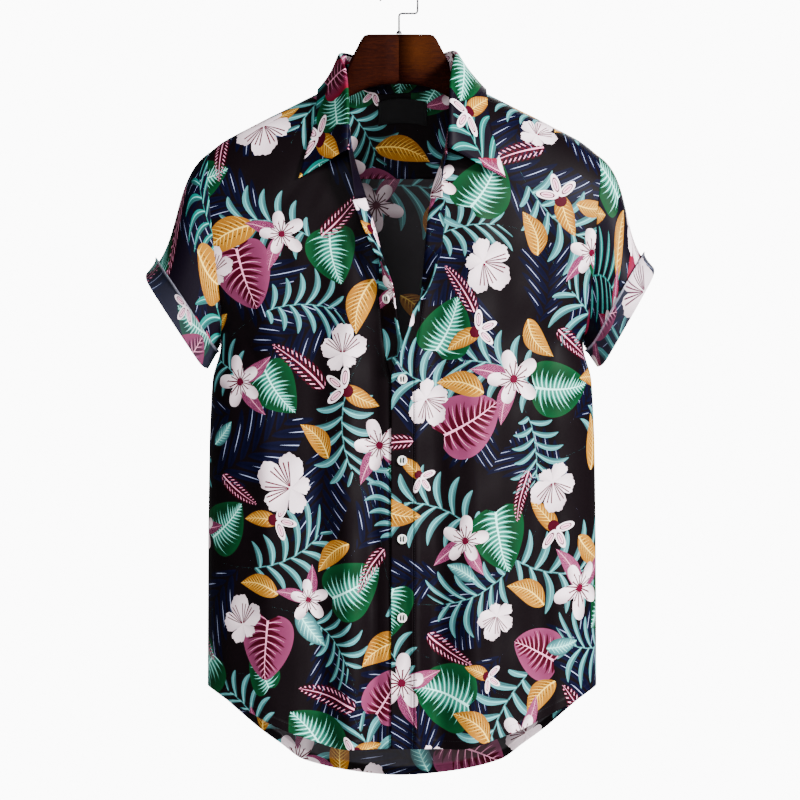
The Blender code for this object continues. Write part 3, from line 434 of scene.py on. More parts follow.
# aqua fronds, each blade with a darker side and a pale midline
for spot, bend in ((motif(((0.54, 0.38), 17.0, 0.046, 0.7)), -0.18),
                   (motif(((0.0, 0.0), 5.0, 0.052, 1.0)), 0.22)):
    frond = use(frond_form, Spot=spot, Bend=bend, Blades=3.2, Lean=0.95, Fan=0.5, Curl=0.72,
                Fill=0.51)
    across, along = frond["Across"], frond["Along"]
    shade = over(TEAL, aquas, (across * 2.8 + 0.66).clamped())
    for middle, wide, dye in ((0.02, 0.036, PALE_AQUA), (-0.12, 0.024, TEAL_DARK)):
        shade = over(shade, dye, abs(across - middle) < wide * (1.05 - along))
    colour = over(colour, shade, frond["Cover"] | frond["Rib"])

# broad green leaves, feathered with pale strokes from the rib
colour = print_leaf(
    motif(((0.5, 0.02), 7.0, 0.038, 1.0), ((0.02, 0.68), 23.0, 0.028, 0.3)),
    (0.14, 0.80, 0.34, 0.80, 8.5, 0.25, 0.9, 0.5), (GREEN, GREEN_LIGHT),
    ((VEIN_AQUA, 0.60, 1.25, 0.0, 0.0, 1.0), (VEIN_AQUA, 0.34, 1.9, 0.6, 0.0, 1.0),
     (VEIN_WHITE, 0.28, 1.42, 0.0, 0.0, 1.0)), glow=(VEIN_AQUA, 2.8, 0.9))

# round pink leaves, with burgundy strokes between pale veins
colour = print_leaf(
    motif(((0.98, 0.5), 29.0, 0.035, 0.58)),
    (0.06, 0.84, 0.30, 0.66, 5.6, 0.3, 1.0, 0.6), (PINK_DEEP, pinks),
    ((BURGUNDY, 0.80, 1.30, 0.9, 0.0, 1.0), (PALE_PINK, 0.15, 1.35, 0.0, 0.0, 1.0)),
    glow=(BURGUNDY, 3.2, 0.8))

# ochre leaves, half of each darker, with cream veins and a row of dark dots
colour = print_leaf(
    motif(((0.22, 0.24), 31.0, 0.031, 1.0), ((0.8, 0.78), 37.0, 0.026, 0.55)),
    (0.22, 0.46, 0.7, 1.0, 6.5, 0.8, 0.3, 0.0), (OCHRE, OCHRE),
    ((SEED_DOT, 0.30, 0.0, 1.0, 0.35, 0.42), (CREAM, 0.20, 1.0, 0.0, 0.0, 1.0)),
    half_dye=OCHRE_DARK)

# small aqua leaves with white veins
colour = print_leaf(
    motif(((0.72, 0.40), 41.0, 0.023, 0.7)),
    (0.1, 0.46, 0.6, 0.9, 5.0, 0.7, 0.4, 0.0), (aquas, TEAL),
    ((VEIN_WHITE, 0.26, 1.2, 0.0, 0.0, 1.0),), glow=(PALE_AQUA, 2.4, 0.8))

# burgundy sprigs: loose barbs with pale dashes on both sides of a pale stem
colour = print_leaf(
    motif(((0.50, 0.74), 43.0, 0.034, 1.0)),
    (0.08, 0.29, 0.3, 0.6, 6.0, 0.9, 0.0, 0.0), (BURGUNDY, BURGUNDY),
    ((BURGUNDY, 0.74, 0.25, 0.0, 0.06, 1.0), (PALE_PINK, 0.30, 0.2, 0.0, 0.45, 0.80)), bare=True)

# flowers of five white petals, on two pointed pink leaves
flower = motif(((0.82, 0.12), 47.0, 0.029, 1.0))
for leaf_turn, leaf_dye in ((2.2, PINK), (3.7, MAUVE)):
    colour = print_leaf(
        sprung_from(flower, leaf_turn, 0.95, 0.86),
        (0.12, 0.34, 0.7, 1.0, 12.0, 1.0, 0.0, 0.0), (leaf_dye, pinks),
        ((MAUVE, 0.45, 1.1, 1.0, 0.0, 1.0), (PALE_PINK, 0.10, 1.0, 0.0, 0.0, 1.0)))
x, y, z = parts(flower)
heading, out = round_about(x, y)
out = out * (1.0 - ((heading - 2.0).cosine() * 0.09 + (heading * 3.0).sine() * 0.05))
petal = ((heading * (5 / FULL_TURN) + 5.0).fraction() - 0.5) * (FULL_TURN / 5)
along = out * petal.cosine()
across = out * petal.sine()
half = along ** 0.62 * (1.0 - along) ** 0.40 * 0.50
shade = over(PETAL, PETAL_SHADE, across * 3.0 + along - 0.55)
ray = (heading * (15 / FULL_TURN) + 15.5).pingpong(0.5) * out * (FULL_TURN / 15)
end = (heading * 7.0).sine() * 0.10 + 0.52
mark = (ray < 0.029 - out * 0.014) | (ray < 0.036) * (abs(out - end) < 0.028)
shade = over(shade, STAMEN, mark * (out < end + 0.02))
colour = over(colour, shade, (abs(across) < half) | (out < 0.06))

# orchids: an ochre leaf below three small outlined petals and a burgundy heart
orchid = motif(((0.16, 0.84), 53.0, 0.026, 0.8))
colour = print_leaf(
    sprung_from(orchid, 3.1, 0.95, 0.8), (0.1, 0.42, 0.6, 0.9, 5.0, 0.9, 0.3, 0.0),
    (OCHRE, OCHRE_DARK), ((CREAM, 0.2, 0.9, 0.0, 0.0, 1.0),))
x, y, z = parts(orchid)
heart = (x * x + (y + 0.16) ** 2.0) ** 0.5
colour = over(colour, BURGUNDY, heart < 0.24)
for petal_turn in (-1.15, 0.1, 1.2):
    x, y, z = parts(sprung_from(orchid, petal_turn, 0.44))
    oval = ((x / 0.17) ** 2.0 + (y / 0.42) ** 2.0) ** 0.5
    shade = over(PALE_PINK, PETAL, oval * oval * 1.3 + 0.15)
    line = (abs(oval - 0.60) < 0.07) | (abs(x) < 0.014) * (oval < 0.4)
    colour = over(colour, over(shade, BURGUNDY, line), oval < 1.0)

# large white blooms of broad ruffled petals, with burgundy streaks fanning out on two of them
x, y, z = parts(motif(((0.30, 0.52), 59.0, 0.037, 0.75)))
heading, out = round_about(x, y + 0.22)
petal = ((heading * (5 / FULL_TURN) + 5.25).fraction() - 0.5) * 2.0
round_petal = (1.0 - petal * petal).at_least(0.0) ** 0.30
ruffle = (heading * 16.0).sine() * 0.022 + (heading * 41.0).sine() * 0.012
longer = (heading - 1.6).cosine() * 0.17 + (heading * 2.0).sine() * 0.06 + 0.58
shade = over(PETAL, PETAL_SHADE, out * out * 0.7 + petal * 0.45 - 0.08)
shade = over(shade, PARTING, (abs(petal) > 0.94) * (out > 0.30))
for fan in (0.95, 2.2):
    spread = heading - fan
    ray = (spread * 5.0).pingpong(0.5) * (out + 0.25)
    streak = (ray < 0.17 - out * 0.05) * (abs(spread) < 0.46) * (abs(out - 0.36) < 0.31)
    shade = over(shade, STAMEN, streak)
colour = over(colour, shade, out < longer * (round_petal * 0.85 + 0.40) + ruffle)
give(result, {"Color": colour})

# Plain weave: Height is 1 on top of each thread, Tone wavers with the yarn's thick places.
weave, given, result = new_group("weave", ("Place",), ("Height", "Tone"))
warp, weft = [(way * (FULL_TURN / WEAVE_PITCH)).sine() for way in parts(given["Place"])[:2]]
height = warp * weft
slubs = 0.0
for stretch in ((1500.0, 90.0, 1.0), (90.0, 1500.0, 1.0)):
    slubs = noise(vector("MULTIPLY", given["Place"], stretch), 1.0, 1.0) + slubs
give(result, {"Height": height * 0.35 + slubs * 0.5, "Tone": slubs - 1.0})


def attribute(material, name):
    return lay_whole("Attribute", tree=material.node_tree, attribute_name=name)["Fac"]


def cut_place(material):
    """The place on the flat cut, in metres."""
    return lay("UVMap", tree=material.node_tree, uv_map="cut")


def cloth(name, rich, fade, pale=WRONG_SIDE, painted_edge_highlight=False):
    """Printed cotton. Fade takes the print towards the grey of the cloth's wrong side, but not
    where a hem is turned up over it. Cloth with an edge highlight gets a painted highlight,
    pale grey, in places along its rolled edge."""
    material, inputs = new_material(name)
    place = cut_place(material)
    colour = use(hawaiian_print, Place=place, Rich=rich)["Color"]
    threads = use(weave, Place=place)
    if fade:
        colour = over(colour, pale, (1.0 - attribute(material, "turned_hem")) * fade)
    if painted_edge_highlight:
        # a painted highlight: pale grey in noise patches along the rolled edge
        edge = attribute(material, "rolled_edge")
        painted_highlight_patch = (noise(place, 1.0) * 6.0 - 2.6).clamped()
        colour = over(colour, PALE_EDGE_HIGHLIGHT, edge * (painted_highlight_patch * 0.62 + 0.06))
    give(inputs, {
        "Base Color": lay("HueSaturation", 0.5, 1.0, threads["Tone"] * 0.35 + 1.0, 1.0, colour),
        "Roughness": threads["Tone"] * 0.25 + 0.47, "Specular IOR Level": 0.04,
        "Normal": bump(0.25, 0.0001, threads["Height"])})
    return material


printed_cloth = cloth("printed_cloth", 0.0, 0.0)
rich_cloth = cloth("printed_cloth_rich", 1.0, 0.0)
wrong_side = cloth("cloth_wrong_side", 0.0, 0.38)
turned_up = cloth("cloth_turned_up", 0.3, 0.30, TURNED_UP, painted_edge_highlight=True)

# ================================================================ fronts
# Two fronts of printed cotton. They hang straight from the chest down, and round over the
# hanger's arms to the shoulder seams. The wearer's left one laps over the right one.

RIGHT = -1.0                # the wearer's right is at -X
LEFT = 1.0
SIDES = {RIGHT: "right", LEFT: "left"}
FRONT = -1.0
BACK = 1.0

BODY_CENTRE = 0.0033        # the shirt hangs a little to the wearer's left
BODY_POWER = 2.35           # cross-section of the body, from ellipse (2) towards box
SHOULDER_LEVEL = -0.300     # below this the fronts hang straight, above it they round over
UNDERARM = -0.408
SHOULDER_SEAM_TURN = 9.0    # degrees that the shoulder seam lies in front of the ridge
OVERLAP_LIFT = 0.0026       # the lapping front lies this far in front of the other
OVERLAP_FADE = 0.055
OVERLAP_TOP = -0.225
OVERLAP_RISE = 0.06
NECK_SHARE = 0.32           # the neck's share of the half width
NECK_ANGLE = math.asin(NECK_SHARE)
HEM_WIDTH = 0.0105          # the rolled hem
HEM_THICK = 0.0006          # how far it stands out
HEM_STEP = 0.0012           # how wide its step down to the cloth is
PUCKER_HEIGHT = 0.00022
PUCKER_REACH = 0.007        # up and down from the hem's stitches
WAVE_HEIGHTS = (0.0005, 0.0004)
FOLD_SIDE_FADE = 1.5        # folds and creases fade out towards the side seams
ROUNDS = 10                 # in which places that depend on each other settle
EDGE_GUESSES = (0.05, 0.21)     # from which a front's inner and outer edge settle
SEAM_GAP = 0.00002          # between pieces that are sewn together

BODY_SECTIONS = (
    # z, half_width, half_depth
    (-0.900, 0.2155, 0.087),
    (-0.780, 0.2150, 0.084),
    (-0.640, 0.2145, 0.080),
    (-0.520, 0.2130, 0.078),
    (-0.480, 0.2115, 0.077),
    (-0.447, 0.2095, 0.0765),
    (-0.408, 0.2005, 0.076),
    (-0.381, 0.2090, 0.0755),
    (-0.354, 0.2185, 0.075),
    (-0.327, 0.2285, 0.074),
    (-0.300, 0.2380, 0.073),
    (-0.196, 0.2620, 0.070),
    (-0.080, 0.2700, 0.070),
)
RIDGE = (
    # out, z
    (0.000, -0.0940),
    (0.030, -0.1000),
    (0.066, -0.1160),
    (0.094, -0.1300),
    (0.110, -0.1380),
    (0.129, -0.1476),
    (0.147, -0.1564),
    (0.164, -0.1652),
    (0.181, -0.1740),
    (0.197, -0.1828),
    (0.208, -0.1910),
    (0.220, -0.2010),
)
ARMHOLE = (
    # z, right_out, left_out
    (-0.408, 0.2005, 0.2005),
    (-0.381, 0.1985, 0.2040),
    (-0.354, 0.2010, 0.2080),
    (-0.300, 0.2070, 0.2125),
    (-0.250, 0.2120, 0.2160),
    (-0.218, 0.2145, 0.2190),
    (-0.196, 0.2135, 0.2175),
)
RIGHT_FRONT_EDGE = (
    # z, x, turn in degrees of the band beyond the seam
    (-0.900, -0.0083, 0.0),
    (-0.450, -0.0083, 0.0),
    (-0.432, -0.0120, 0.0),
    (-0.397, -0.0187, 22.0),
    (-0.376, -0.0198, 38.0),
    (-0.348, -0.0225, 50.0),
    (-0.317, -0.0215, 88.0),
    (-0.306, -0.0235, 112.0),
    (-0.291, -0.0270, 122.0),
    (-0.272, -0.0325, 134.0),
    (-0.250, -0.0400, 142.0),
    (-0.240, -0.0430, 0.0),
    (-0.220, -0.0490, 0.0),
    (-0.197, -0.0550, 0.0),
    (-0.165, -0.0590, 0.0),
    (-0.140, -0.0630, 0.0),
    (-0.116, -0.0680, 0.0),
)
LEFT_FRONT_EDGE = (
    # z, x, turn in degrees of the band beyond the seam
    (-0.900, 0.0154, 0.0),
    (-0.450, 0.0154, 0.0),
    (-0.432, 0.0165, 26.0),
    (-0.408, 0.0190, 44.0),
    (-0.393, 0.0215, 50.0),
    (-0.369, 0.0245, 62.0),
    (-0.353, 0.0265, 90.0),
    (-0.317, 0.0300, 125.0),
    (-0.297, 0.0320, 170.0),
    (-0.265, 0.0355, 160.0),
    (-0.250, 0.0385, 150.0),
    (-0.240, 0.0405, 0.0),
    (-0.220, 0.0470, 0.0),
    (-0.197, 0.0540, 0.0),
    (-0.165, 0.0590, 0.0),
    (-0.140, 0.0630, 0.0),
    (-0.116, 0.0680, 0.0),
)
HEM = (
    # out, front_z, back_z
    (0.000, -0.850, -0.889),
    (0.060, -0.851, -0.883),
    (0.110, -0.8375, -0.871),
    (0.136, -0.8275, -0.852),
    (0.160, -0.815, -0.834),
    (0.188, -0.801, -0.809),
    (0.205, -0.790, -0.793),
    (0.216, -0.783, -0.783),
)
FRONT_FOLDS = (
    # x, half_width, height, fade_z
    (0.022, 0.016, 0.0045, -0.62),
    (0.046, 0.020, -0.0050, -0.55),
    (0.084, 0.026, 0.0035, -0.60),
    (-0.046, 0.022, 0.0055, -0.56),
    (-0.080, 0.024, -0.0055, -0.50),
    (-0.118, 0.030, 0.0035, -0.60),
    (0.150, 0.030, -0.0035, -0.45),
)
BACK_FOLDS = (
    # x, half_width, height, fade_z
    (0.012, 0.024, 0.0060, -0.60),
    (0.058, 0.028, -0.0065, -0.42),
    (0.110, 0.032, 0.0055, -0.50),
    (-0.040, 0.026, -0.0060, -0.48),
    (-0.092, 0.030, 0.0060, -0.40),
    (-0.145, 0.030, -0.0040, -0.58),
)

# Creases: each runs from one place to another, seen from the front.
FRONT_CREASES = (
    # x0, z0, x1, z1, half_width, height
    (0.084, -0.235, 0.080, -1.150, 0.0230, 0.0090),
    (0.042, -0.290, 0.036, -1.150, 0.0190, -0.0072),
    (0.150, -0.250, 0.157, -1.100, 0.0240, -0.0066),
    (0.019, -0.440, 0.0195, -1.150, 0.0055, 0.0026),
    (-0.028, -0.360, -0.027, -1.150, 0.0120, -0.0056),
    (-0.055, -0.250, -0.058, -1.150, 0.0180, 0.0076),
    (-0.091, -0.260, -0.094, -1.150, 0.0200, -0.0068),
    (-0.146, -0.280, -0.143, -1.100, 0.0240, 0.0056),
    (0.060, -0.215, 0.120, -0.330, 0.0100, 0.0012),
    (0.075, -0.190, 0.155, -0.270, 0.0090, -0.0010),
    (-0.070, -0.215, -0.125, -0.345, 0.0110, 0.0013),
    (-0.085, -0.200, -0.160, -0.290, 0.0090, -0.0011),
    (0.180, -0.330, 0.120, -0.420, 0.0090, 0.0012),
    (0.188, -0.370, 0.130, -0.480, 0.0080, -0.0012),
    (-0.175, -0.330, -0.120, -0.430, 0.0090, 0.0012),
    (-0.180, -0.375, -0.135, -0.470, 0.0080, -0.0011),
    (0.040, -0.480, 0.075, -0.610, 0.0110, 0.0010),
    (-0.030, -0.470, -0.062, -0.640, 0.0120, -0.0010),
    (0.100, -0.520, 0.112, -0.700, 0.0130, 0.0012),
    (-0.150, -0.500, -0.140, -0.690, 0.0130, 0.0011),
    (0.170, -0.560, 0.160, -0.740, 0.0110, -0.0010),
    (0.012, -0.640, 0.020, -0.830, 0.0060, 0.0016),
    (-0.100, -0.700, -0.094, -0.820, 0.0080, 0.0014),
)
BACK_CREASES = (
    # x0, z0, x1, z1, half_width, height
    (0.150, -0.250, 0.090, -0.400, 0.0120, 0.0014),
    (0.170, -0.330, 0.110, -0.470, 0.0100, -0.0013),
    (-0.150, -0.250, -0.085, -0.410, 0.0120, 0.0013),
    (-0.170, -0.340, -0.115, -0.480, 0.0100, -0.0012),
    (0.030, -0.300, 0.040, -0.480, 0.0130, 0.0014),
    (-0.020, -0.330, -0.034, -0.540, 0.0130, -0.0014),
    (0.080, -0.500, 0.090, -0.760, 0.0110, 0.0014),
    (-0.120, -0.520, -0.110, -0.740, 0.0120, 0.0012),
    (0.150, -0.560, 0.145, -0.760, 0.0120, -0.0012),
)

def smooth(table, at, column):
    """Read one column of a table at values of its first column, on a smooth curve."""
    keys = np.array([row[0] for row in table])
    values = np.array([row[column] for row in table])
    rises = np.diff(values) / np.diff(keys)
    slopes = np.zeros(len(keys))
    slopes[-1] = rises[-1]
    product = rises[:-1] * rises[1:]
    total = np.where(product > 0, rises[:-1] + rises[1:], 1.0)
    slopes[1:-1] = np.where(product > 0, 2.0 * product / total, 0.0)
    at = np.clip(at, keys[0], keys[-1])
    i = np.clip(np.searchsorted(keys, at) - 1, 0, len(keys) - 2)
    step = keys[i + 1] - keys[i]
    return between(values[i], step * slopes[i], step * slopes[i + 1], values[i + 1],
                   (at - keys[i]) / step)


def between(start, leave, arrive, end, t):
    """A cubic curve, from its start and its slope there to its slope at the end and its end."""
    return ((1 + 2 * t) * (1 - t) ** 2 * start + t * (1 - t) ** 2 * leave
            + t * t * (3 - 2 * t) * end + t * t * (t - 1) * arrive)


def eased(share):
    """From 0 to 1 with no corner at either end."""
    share = np.clip(share, 0.0, 1.0)
    return share * share * (3 - 2 * share)


def unit(v):
    return v / np.maximum(np.linalg.norm(v, axis=-1, keepdims=True), 1e-12)


def dot(a, b):
    return np.sum(a * b, axis=-1, keepdims=True)


def run_lengths(points, axis=0):
    """How far along a line, or along each line of a grid, the points lie."""
    steps = np.linalg.norm(np.diff(points, axis=axis), axis=-1)
    return np.insert(np.cumsum(steps, axis=axis), 0, 0.0, axis=axis)


def ridge(x):
    """Height of the shoulder line over a place across the body."""
    return smooth(RIDGE, np.abs(x - BODY_CENTRE), 1)


def hem_height(x, face):
    return smooth(HEM, np.abs(x - BODY_CENTRE), 1 if face == FRONT else 2)


def folds(table, x, z):
    """Soft vertical folds, that fade out upwards."""
    total = np.zeros_like(x)
    for centre, half_width, height, fade_z in table:
        away = np.minimum(np.abs(x - centre) / half_width, 1.0)
        down = np.clip((fade_z - z) / (fade_z - BODY_SECTIONS[0][0]), 0.0, 1.0)
        total = total + height * (0.5 + 0.5 * np.cos(math.pi * away)) * down * (2.0 - down)
    return total


def creases(table, x, z):
    """Ridges and troughs, highest at the middle of their length."""
    total = np.zeros_like(x)
    for x0, z0, x1, z1, half_width, height in table:
        run = (x1 - x0, z1 - z0)
        t = np.clip(((x - x0) * run[0] + (z - z0) * run[1]) / (run[0] ** 2 + run[1] ** 2), 0, 1)
        away = np.hypot(x - x0 - run[0] * t, z - z0 - run[1] * t) / half_width
        total = total + height * np.exp(-2.0 * away ** 2) * np.sqrt(4.0 * t * (1 - t) + 0.02)
    return total


def unevenness(x, z):
    """The cloth's slight waviness: two waves that cross and wander."""
    wave = WAVE_HEIGHTS[0] * np.sin(61.0 * x + 23.0 * z + 2.0 * np.sin(17.0 * z))
    other = np.sin(97.0 * z - 41.0 * x + 1.7 * np.sin(29.0 * x + 1.0))
    return wave + WAVE_HEIGHTS[1] * other


def hem_form(x, z, face):
    """The rolled hem stands out, with small puckers along its stitches."""
    above = z - hem_height(x, face)
    pucker = np.sin(x * 520.0 + 2.0 * np.sin(x * 75.0)) + 0.6 * np.sin(x * 290.0 + 1.0)
    near = np.exp(-((above - HEM_WIDTH) / PUCKER_REACH) ** 2)
    return HEM_THICK * eased((HEM_WIDTH - above) / HEM_STEP) + PUCKER_HEIGHT * pucker * near


def depth(x, z, face):
    """Distance of the hanging body's outer face from the middle plane."""
    half_width = smooth(BODY_SECTIONS, z, 1)
    half_depth = smooth(BODY_SECTIONS, z, 2)
    share = np.minimum(np.abs(x - BODY_CENTRE) / half_width, 1.0)
    rounded = (1.0 - share ** BODY_POWER) ** (1.0 / BODY_POWER)
    large = folds(FRONT_FOLDS if face == FRONT else BACK_FOLDS, x, z)
    small = creases(FRONT_CREASES if face == FRONT else BACK_CREASES, x, z) + unevenness(x, z)
    small = small + hem_form(x, z, face)
    return half_depth * rounded + (large + small) * np.minimum(1.0, rounded * FOLD_SIDE_FADE)


def hanging(x, z, face):
    """Points on the body below shoulder level."""
    z = z + 0 * x
    return np.stack((x, face * depth(x, z, face), z), axis=-1)


def over_shoulder(x, turn):
    """Points above shoulder level. Turn is 90 degrees at shoulder level, 0 on the ridge."""
    angle = np.radians(turn)
    z = SHOULDER_LEVEL + (ridge(x) - SHOULDER_LEVEL) * np.cos(angle)
    far = np.where(turn > 0, depth(x, z, BACK), depth(x, z, FRONT))
    return np.stack((x, far * np.sin(angle), z), axis=-1)


def armhole_x(side, z):
    return BODY_CENTRE + side * smooth(ARMHOLE, z, 1 if side == RIGHT else 2)


def front_edge(side, z, column=1):
    return smooth(RIGHT_FRONT_EDGE if side == RIGHT else LEFT_FRONT_EDGE, z, column)


def lift(side, x, z):
    """The wearer's left front lies over the right one, below the open neck."""
    if side == RIGHT:
        return np.zeros_like(x)
    across = eased((OVERLAP_FADE - x) / (OVERLAP_FADE - LEFT_FRONT_EDGE[0][1]))
    return OVERLAP_LIFT * across * eased((OVERLAP_TOP - z) / OVERLAP_RISE)


def lower_points(side, face, inner, shares):
    """Rows between hem and underarm, from an inner x to the side seam."""
    up = HEM_ROWS[:, None]
    x = np.full((len(HEM_ROWS), len(shares)), BODY_CENTRE)
    for _ in range(ROUNDS):
        z = hem_height(x, face) * (1 - up) + UNDERARM * up
        start = inner(side, z)
        outer = BODY_CENTRE + side * smooth(BODY_SECTIONS, z, 1)
        x = start + (outer - start) * shares
    return hanging(x, z, face)


# Rows of the grids: closer at the hem. Columns crowd towards the side, where cloth turns.
HEM_ROWS = np.concatenate((np.linspace(0.0, 0.036, 14)[:-1], np.linspace(0.036, 1.0, 118)))
ARMHOLE_ROWS = np.linspace(0.0, 1.0, 30)[1:-1]
ARMHOLE_HEIGHTS = UNDERARM + (SHOULDER_LEVEL - UNDERARM) * ARMHOLE_ROWS[:, None]
SHOULDER_TURNS = np.linspace(90.0, SHOULDER_SEAM_TURN, 55)
LEVEL_ROW = len(HEM_ROWS) + len(ARMHOLE_ROWS)
BAND_ROWS = LEVEL_ROW + 11  # up to where the neckline starts, on both fronts
FRONT_COLUMNS = 76
side_angles = np.linspace(NECK_ANGLE, math.pi / 2, FRONT_COLUMNS + 1)
FRONT_SHARES = (np.sin(side_angles) - NECK_SHARE) / (1.0 - NECK_SHARE)


def front_points(side):
    """Rows from the hem to the shoulder seam, columns from the band out to the side."""
    low = lower_points(side, FRONT, front_edge, FRONT_SHARES)
    start = front_edge(side, ARMHOLE_HEIGHTS)
    x = start + (armhole_x(side, ARMHOLE_HEIGHTS) - start) * FRONT_SHARES
    middle = hanging(x, ARMHOLE_HEIGHTS, FRONT)
    start, end = (np.full(len(SHOULDER_TURNS), side * guess) for guess in EDGE_GUESSES)
    for _ in range(ROUNDS + 4):
        start = front_edge(side, over_shoulder(start, -SHOULDER_TURNS)[:, 2])
        end = armhole_x(side, over_shoulder(end, -SHOULDER_TURNS)[:, 2])
    x = start[:, None] + (end - start)[:, None] * FRONT_SHARES
    high = over_shoulder(x, -SHOULDER_TURNS[:, None] + 0 * x)
    points = np.concatenate((low, middle, high))
    points[..., 1] -= lift(side, points[..., 0], points[..., 2])
    return points


def grid_normals(points):
    """Normals of a grid, from its neighbours' directions along columns and rows."""
    return unit(np.cross(np.gradient(points, axis=1), np.gradient(points, axis=0)))


def cut_lengths(points, first_u, level_row):
    """Places on the flat cut: lengths across from the first column, and heights up from
    the row at shoulder level."""
    u = run_lengths(points, 1) + np.asarray(first_u)[:, None]
    v = points[..., 2].copy()
    v[level_row:] = v[level_row] + run_lengths(points[level_row:])
    return np.stack((u, v), axis=-1)


def drawn_in(points, closed):
    """The grid with its edges drawn in by half the seam gap."""
    moved = points.copy()
    edges = [((0,), (1,)), ((-1,), (-2,))]
    if not closed:
        edges += [((slice(None), 0), (slice(None), 1)), ((slice(None), -1), (slice(None), -2))]
    for edge, neighbour in edges:
        inwards = points[neighbour] - points[edge]
        length = np.linalg.norm(inwards, axis=-1, keepdims=True)
        moved[edge] += unit(inwards) * np.minimum(SEAM_GAP / 2, 0.3 * length)
    return moved


def shell(name, points, places, materials, closed=False, turned=False, thick=CLOTH_THICK,
          hemmed=False):
    """A sheet of cloth: a flat grid laid on the points of its outer face, with the places
    of the flat cut as its UV map, made thick inwards. Its first row can be a hem."""
    if closed:
        points = np.concatenate((points, points[:, :1]), axis=1)
    points = drawn_in(points, closed)
    if turned:
        points = points[:, ::-1]
        places = places[:, ::-1]
    rows, columns = points.shape[:2]
    sheet = bmesh.new()
    bmesh.ops.create_grid(sheet, x_segments=columns - 1, y_segments=rows - 1, size=1.0)
    flat_cut = sheet.loops.layers.uv.new("cut")
    turned_hem = sheet.verts.layers.float.new("turned_hem")
    above = np.linalg.norm(points - points[:1], axis=2)
    hem = eased((HEM_WIDTH + HEM_STEP / 2 - above) / HEM_STEP) * hemmed
    where = {}
    for vertex in sheet.verts:
        j = round((vertex.co.x + 1) / 2 * (columns - 1))
        i = round((vertex.co.y + 1) / 2 * (rows - 1))
        where[vertex] = (i, j)
        vertex.co = points[i, j]
        vertex[turned_hem] = hem[i, j]
    for face in sheet.faces:
        face.smooth = True
        for corner in face.loops:
            corner[flat_cut].uv = places[where[corner.vert]]
    if closed:
        bmesh.ops.remove_doubles(sheet, verts=sheet.verts, dist=1e-7)
    piece = object_from(sheet, name, *materials)
    wall = piece.modifiers.new("wall", "SOLIDIFY")
    wall.thickness = thick
    wall.offset = -1.0
    wall.material_offset = len(materials) - 1
    wall.material_offset_rim = 0
    return piece


FRONT_PRINTS = {RIGHT: (0.519, -0.372), LEFT: (-0.039, -0.456)}    # places on the bolt
fronts = {side: front_points(side) for side in SIDES}
for side, word in SIDES.items():
    places = cut_lengths(fronts[side], fronts[side][:, 0, 0] * side, LEVEL_ROW)
    places = places * (side, 1) + FRONT_PRINTS[side]
    front = shell("front_%s_cloth" % word, fronts[side], places, (printed_cloth, wrong_side),
                  turned=side == RIGHT, hemmed=True)
    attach(front, "root")
    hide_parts("front_" + word)

# ================================================================ back
# One piece of printed cotton from the yoke seam down, cut longer than the fronts and curved
# at the hem.

YOKE_SEAM = -0.222
NECK_COLUMNS = 34           # from the middle of the back to where the shoulder seam starts
BACK_PRINT = (-0.030, 1.653)
neck_shares = np.linspace(0.0, NECK_SHARE, NECK_COLUMNS + 1)[:-1]
BACK_SHARES = np.concatenate((neck_shares, NECK_SHARE + (1 - NECK_SHARE) * FRONT_SHARES))
UPPER_BACK_ROWS = np.linspace(0.0, 1.0, 22)


def turn_at_height(x, z):
    """The turn over the shoulder at which the surface has a given height."""
    share = (z - SHOULDER_LEVEL) / (ridge(x) - SHOULDER_LEVEL)
    return np.degrees(np.arccos(np.clip(share, -1.0, 1.0)))


def back_middle_x(side, z):
    return np.full_like(z, BODY_CENTRE)


def back_half(side):
    """Rows from the hem to the yoke seam, columns from the middle out to the side."""
    low = lower_points(side, BACK, back_middle_x, BACK_SHARES)
    x = BODY_CENTRE + (armhole_x(side, ARMHOLE_HEIGHTS) - BODY_CENTRE) * BACK_SHARES
    middle = hanging(x, ARMHOLE_HEIGHTS, BACK)
    up = UPPER_BACK_ROWS[:, None]
    x = BODY_CENTRE + (armhole_x(side, SHOULDER_LEVEL) - BODY_CENTRE) * BACK_SHARES + 0 * up
    for _ in range(ROUNDS):
        turn = 90.0 + (turn_at_height(x, YOKE_SEAM) - 90.0) * up
        z = over_shoulder(x, turn)[..., 2]
        x = BODY_CENTRE + (armhole_x(side, z) - BODY_CENTRE) * BACK_SHARES
    return np.concatenate((low, middle, over_shoulder(x, turn)))


def cut_from_middle(points, level_row, place):
    """Places on the flat cut of a back piece, as lengths from its middle column."""
    across = run_lengths(points[:, :len(BACK_SHARES)], 1)[:, -1]
    return cut_lengths(points, -across, level_row) * (-1, 1) + place


back_points = np.concatenate((back_half(RIGHT)[:, ::-1], back_half(LEFT)[:, 1:]), axis=1)
back_cloth = shell("back_cloth", back_points, cut_from_middle(back_points, LEVEL_ROW, BACK_PRINT),
                   (printed_cloth, wrong_side), turned=True, hemmed=True)
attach(back_cloth, "root")
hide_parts("back")

# ================================================================ yoke
# Two layers of printed cotton, right sides out, from the back's seam over the hanger's arms
# to the shoulder seams. The back neckline is cut into it.

YOKE_ROWS = 44
DOUBLE_THICK = 0.0010       # of two layers of cloth
YOKE_PRINT = (-0.474, 0.261)
BACK_NECK_X = 0.0005
BACK_NECK_TURN = 33.0
NECK_ROUND = 0.9


def yoke_top(front):
    """Points and turns from the middle of the back neckline along the shoulder seam."""
    angle = np.linspace(0.0, math.pi / 2, NECK_COLUMNS + 1)[1:][::-1]
    corner = front[-1, 0, 0]
    x = BACK_NECK_X + (corner - BACK_NECK_X) * np.maximum(np.cos(angle), 0.0) ** NECK_ROUND
    turn = -SHOULDER_SEAM_TURN + (BACK_NECK_TURN + SHOULDER_SEAM_TURN) * np.sin(angle)
    points = np.concatenate((over_shoulder(x, turn), front[-1]))
    return points, np.concatenate((turn, np.full(len(front[-1]), -SHOULDER_SEAM_TURN)))


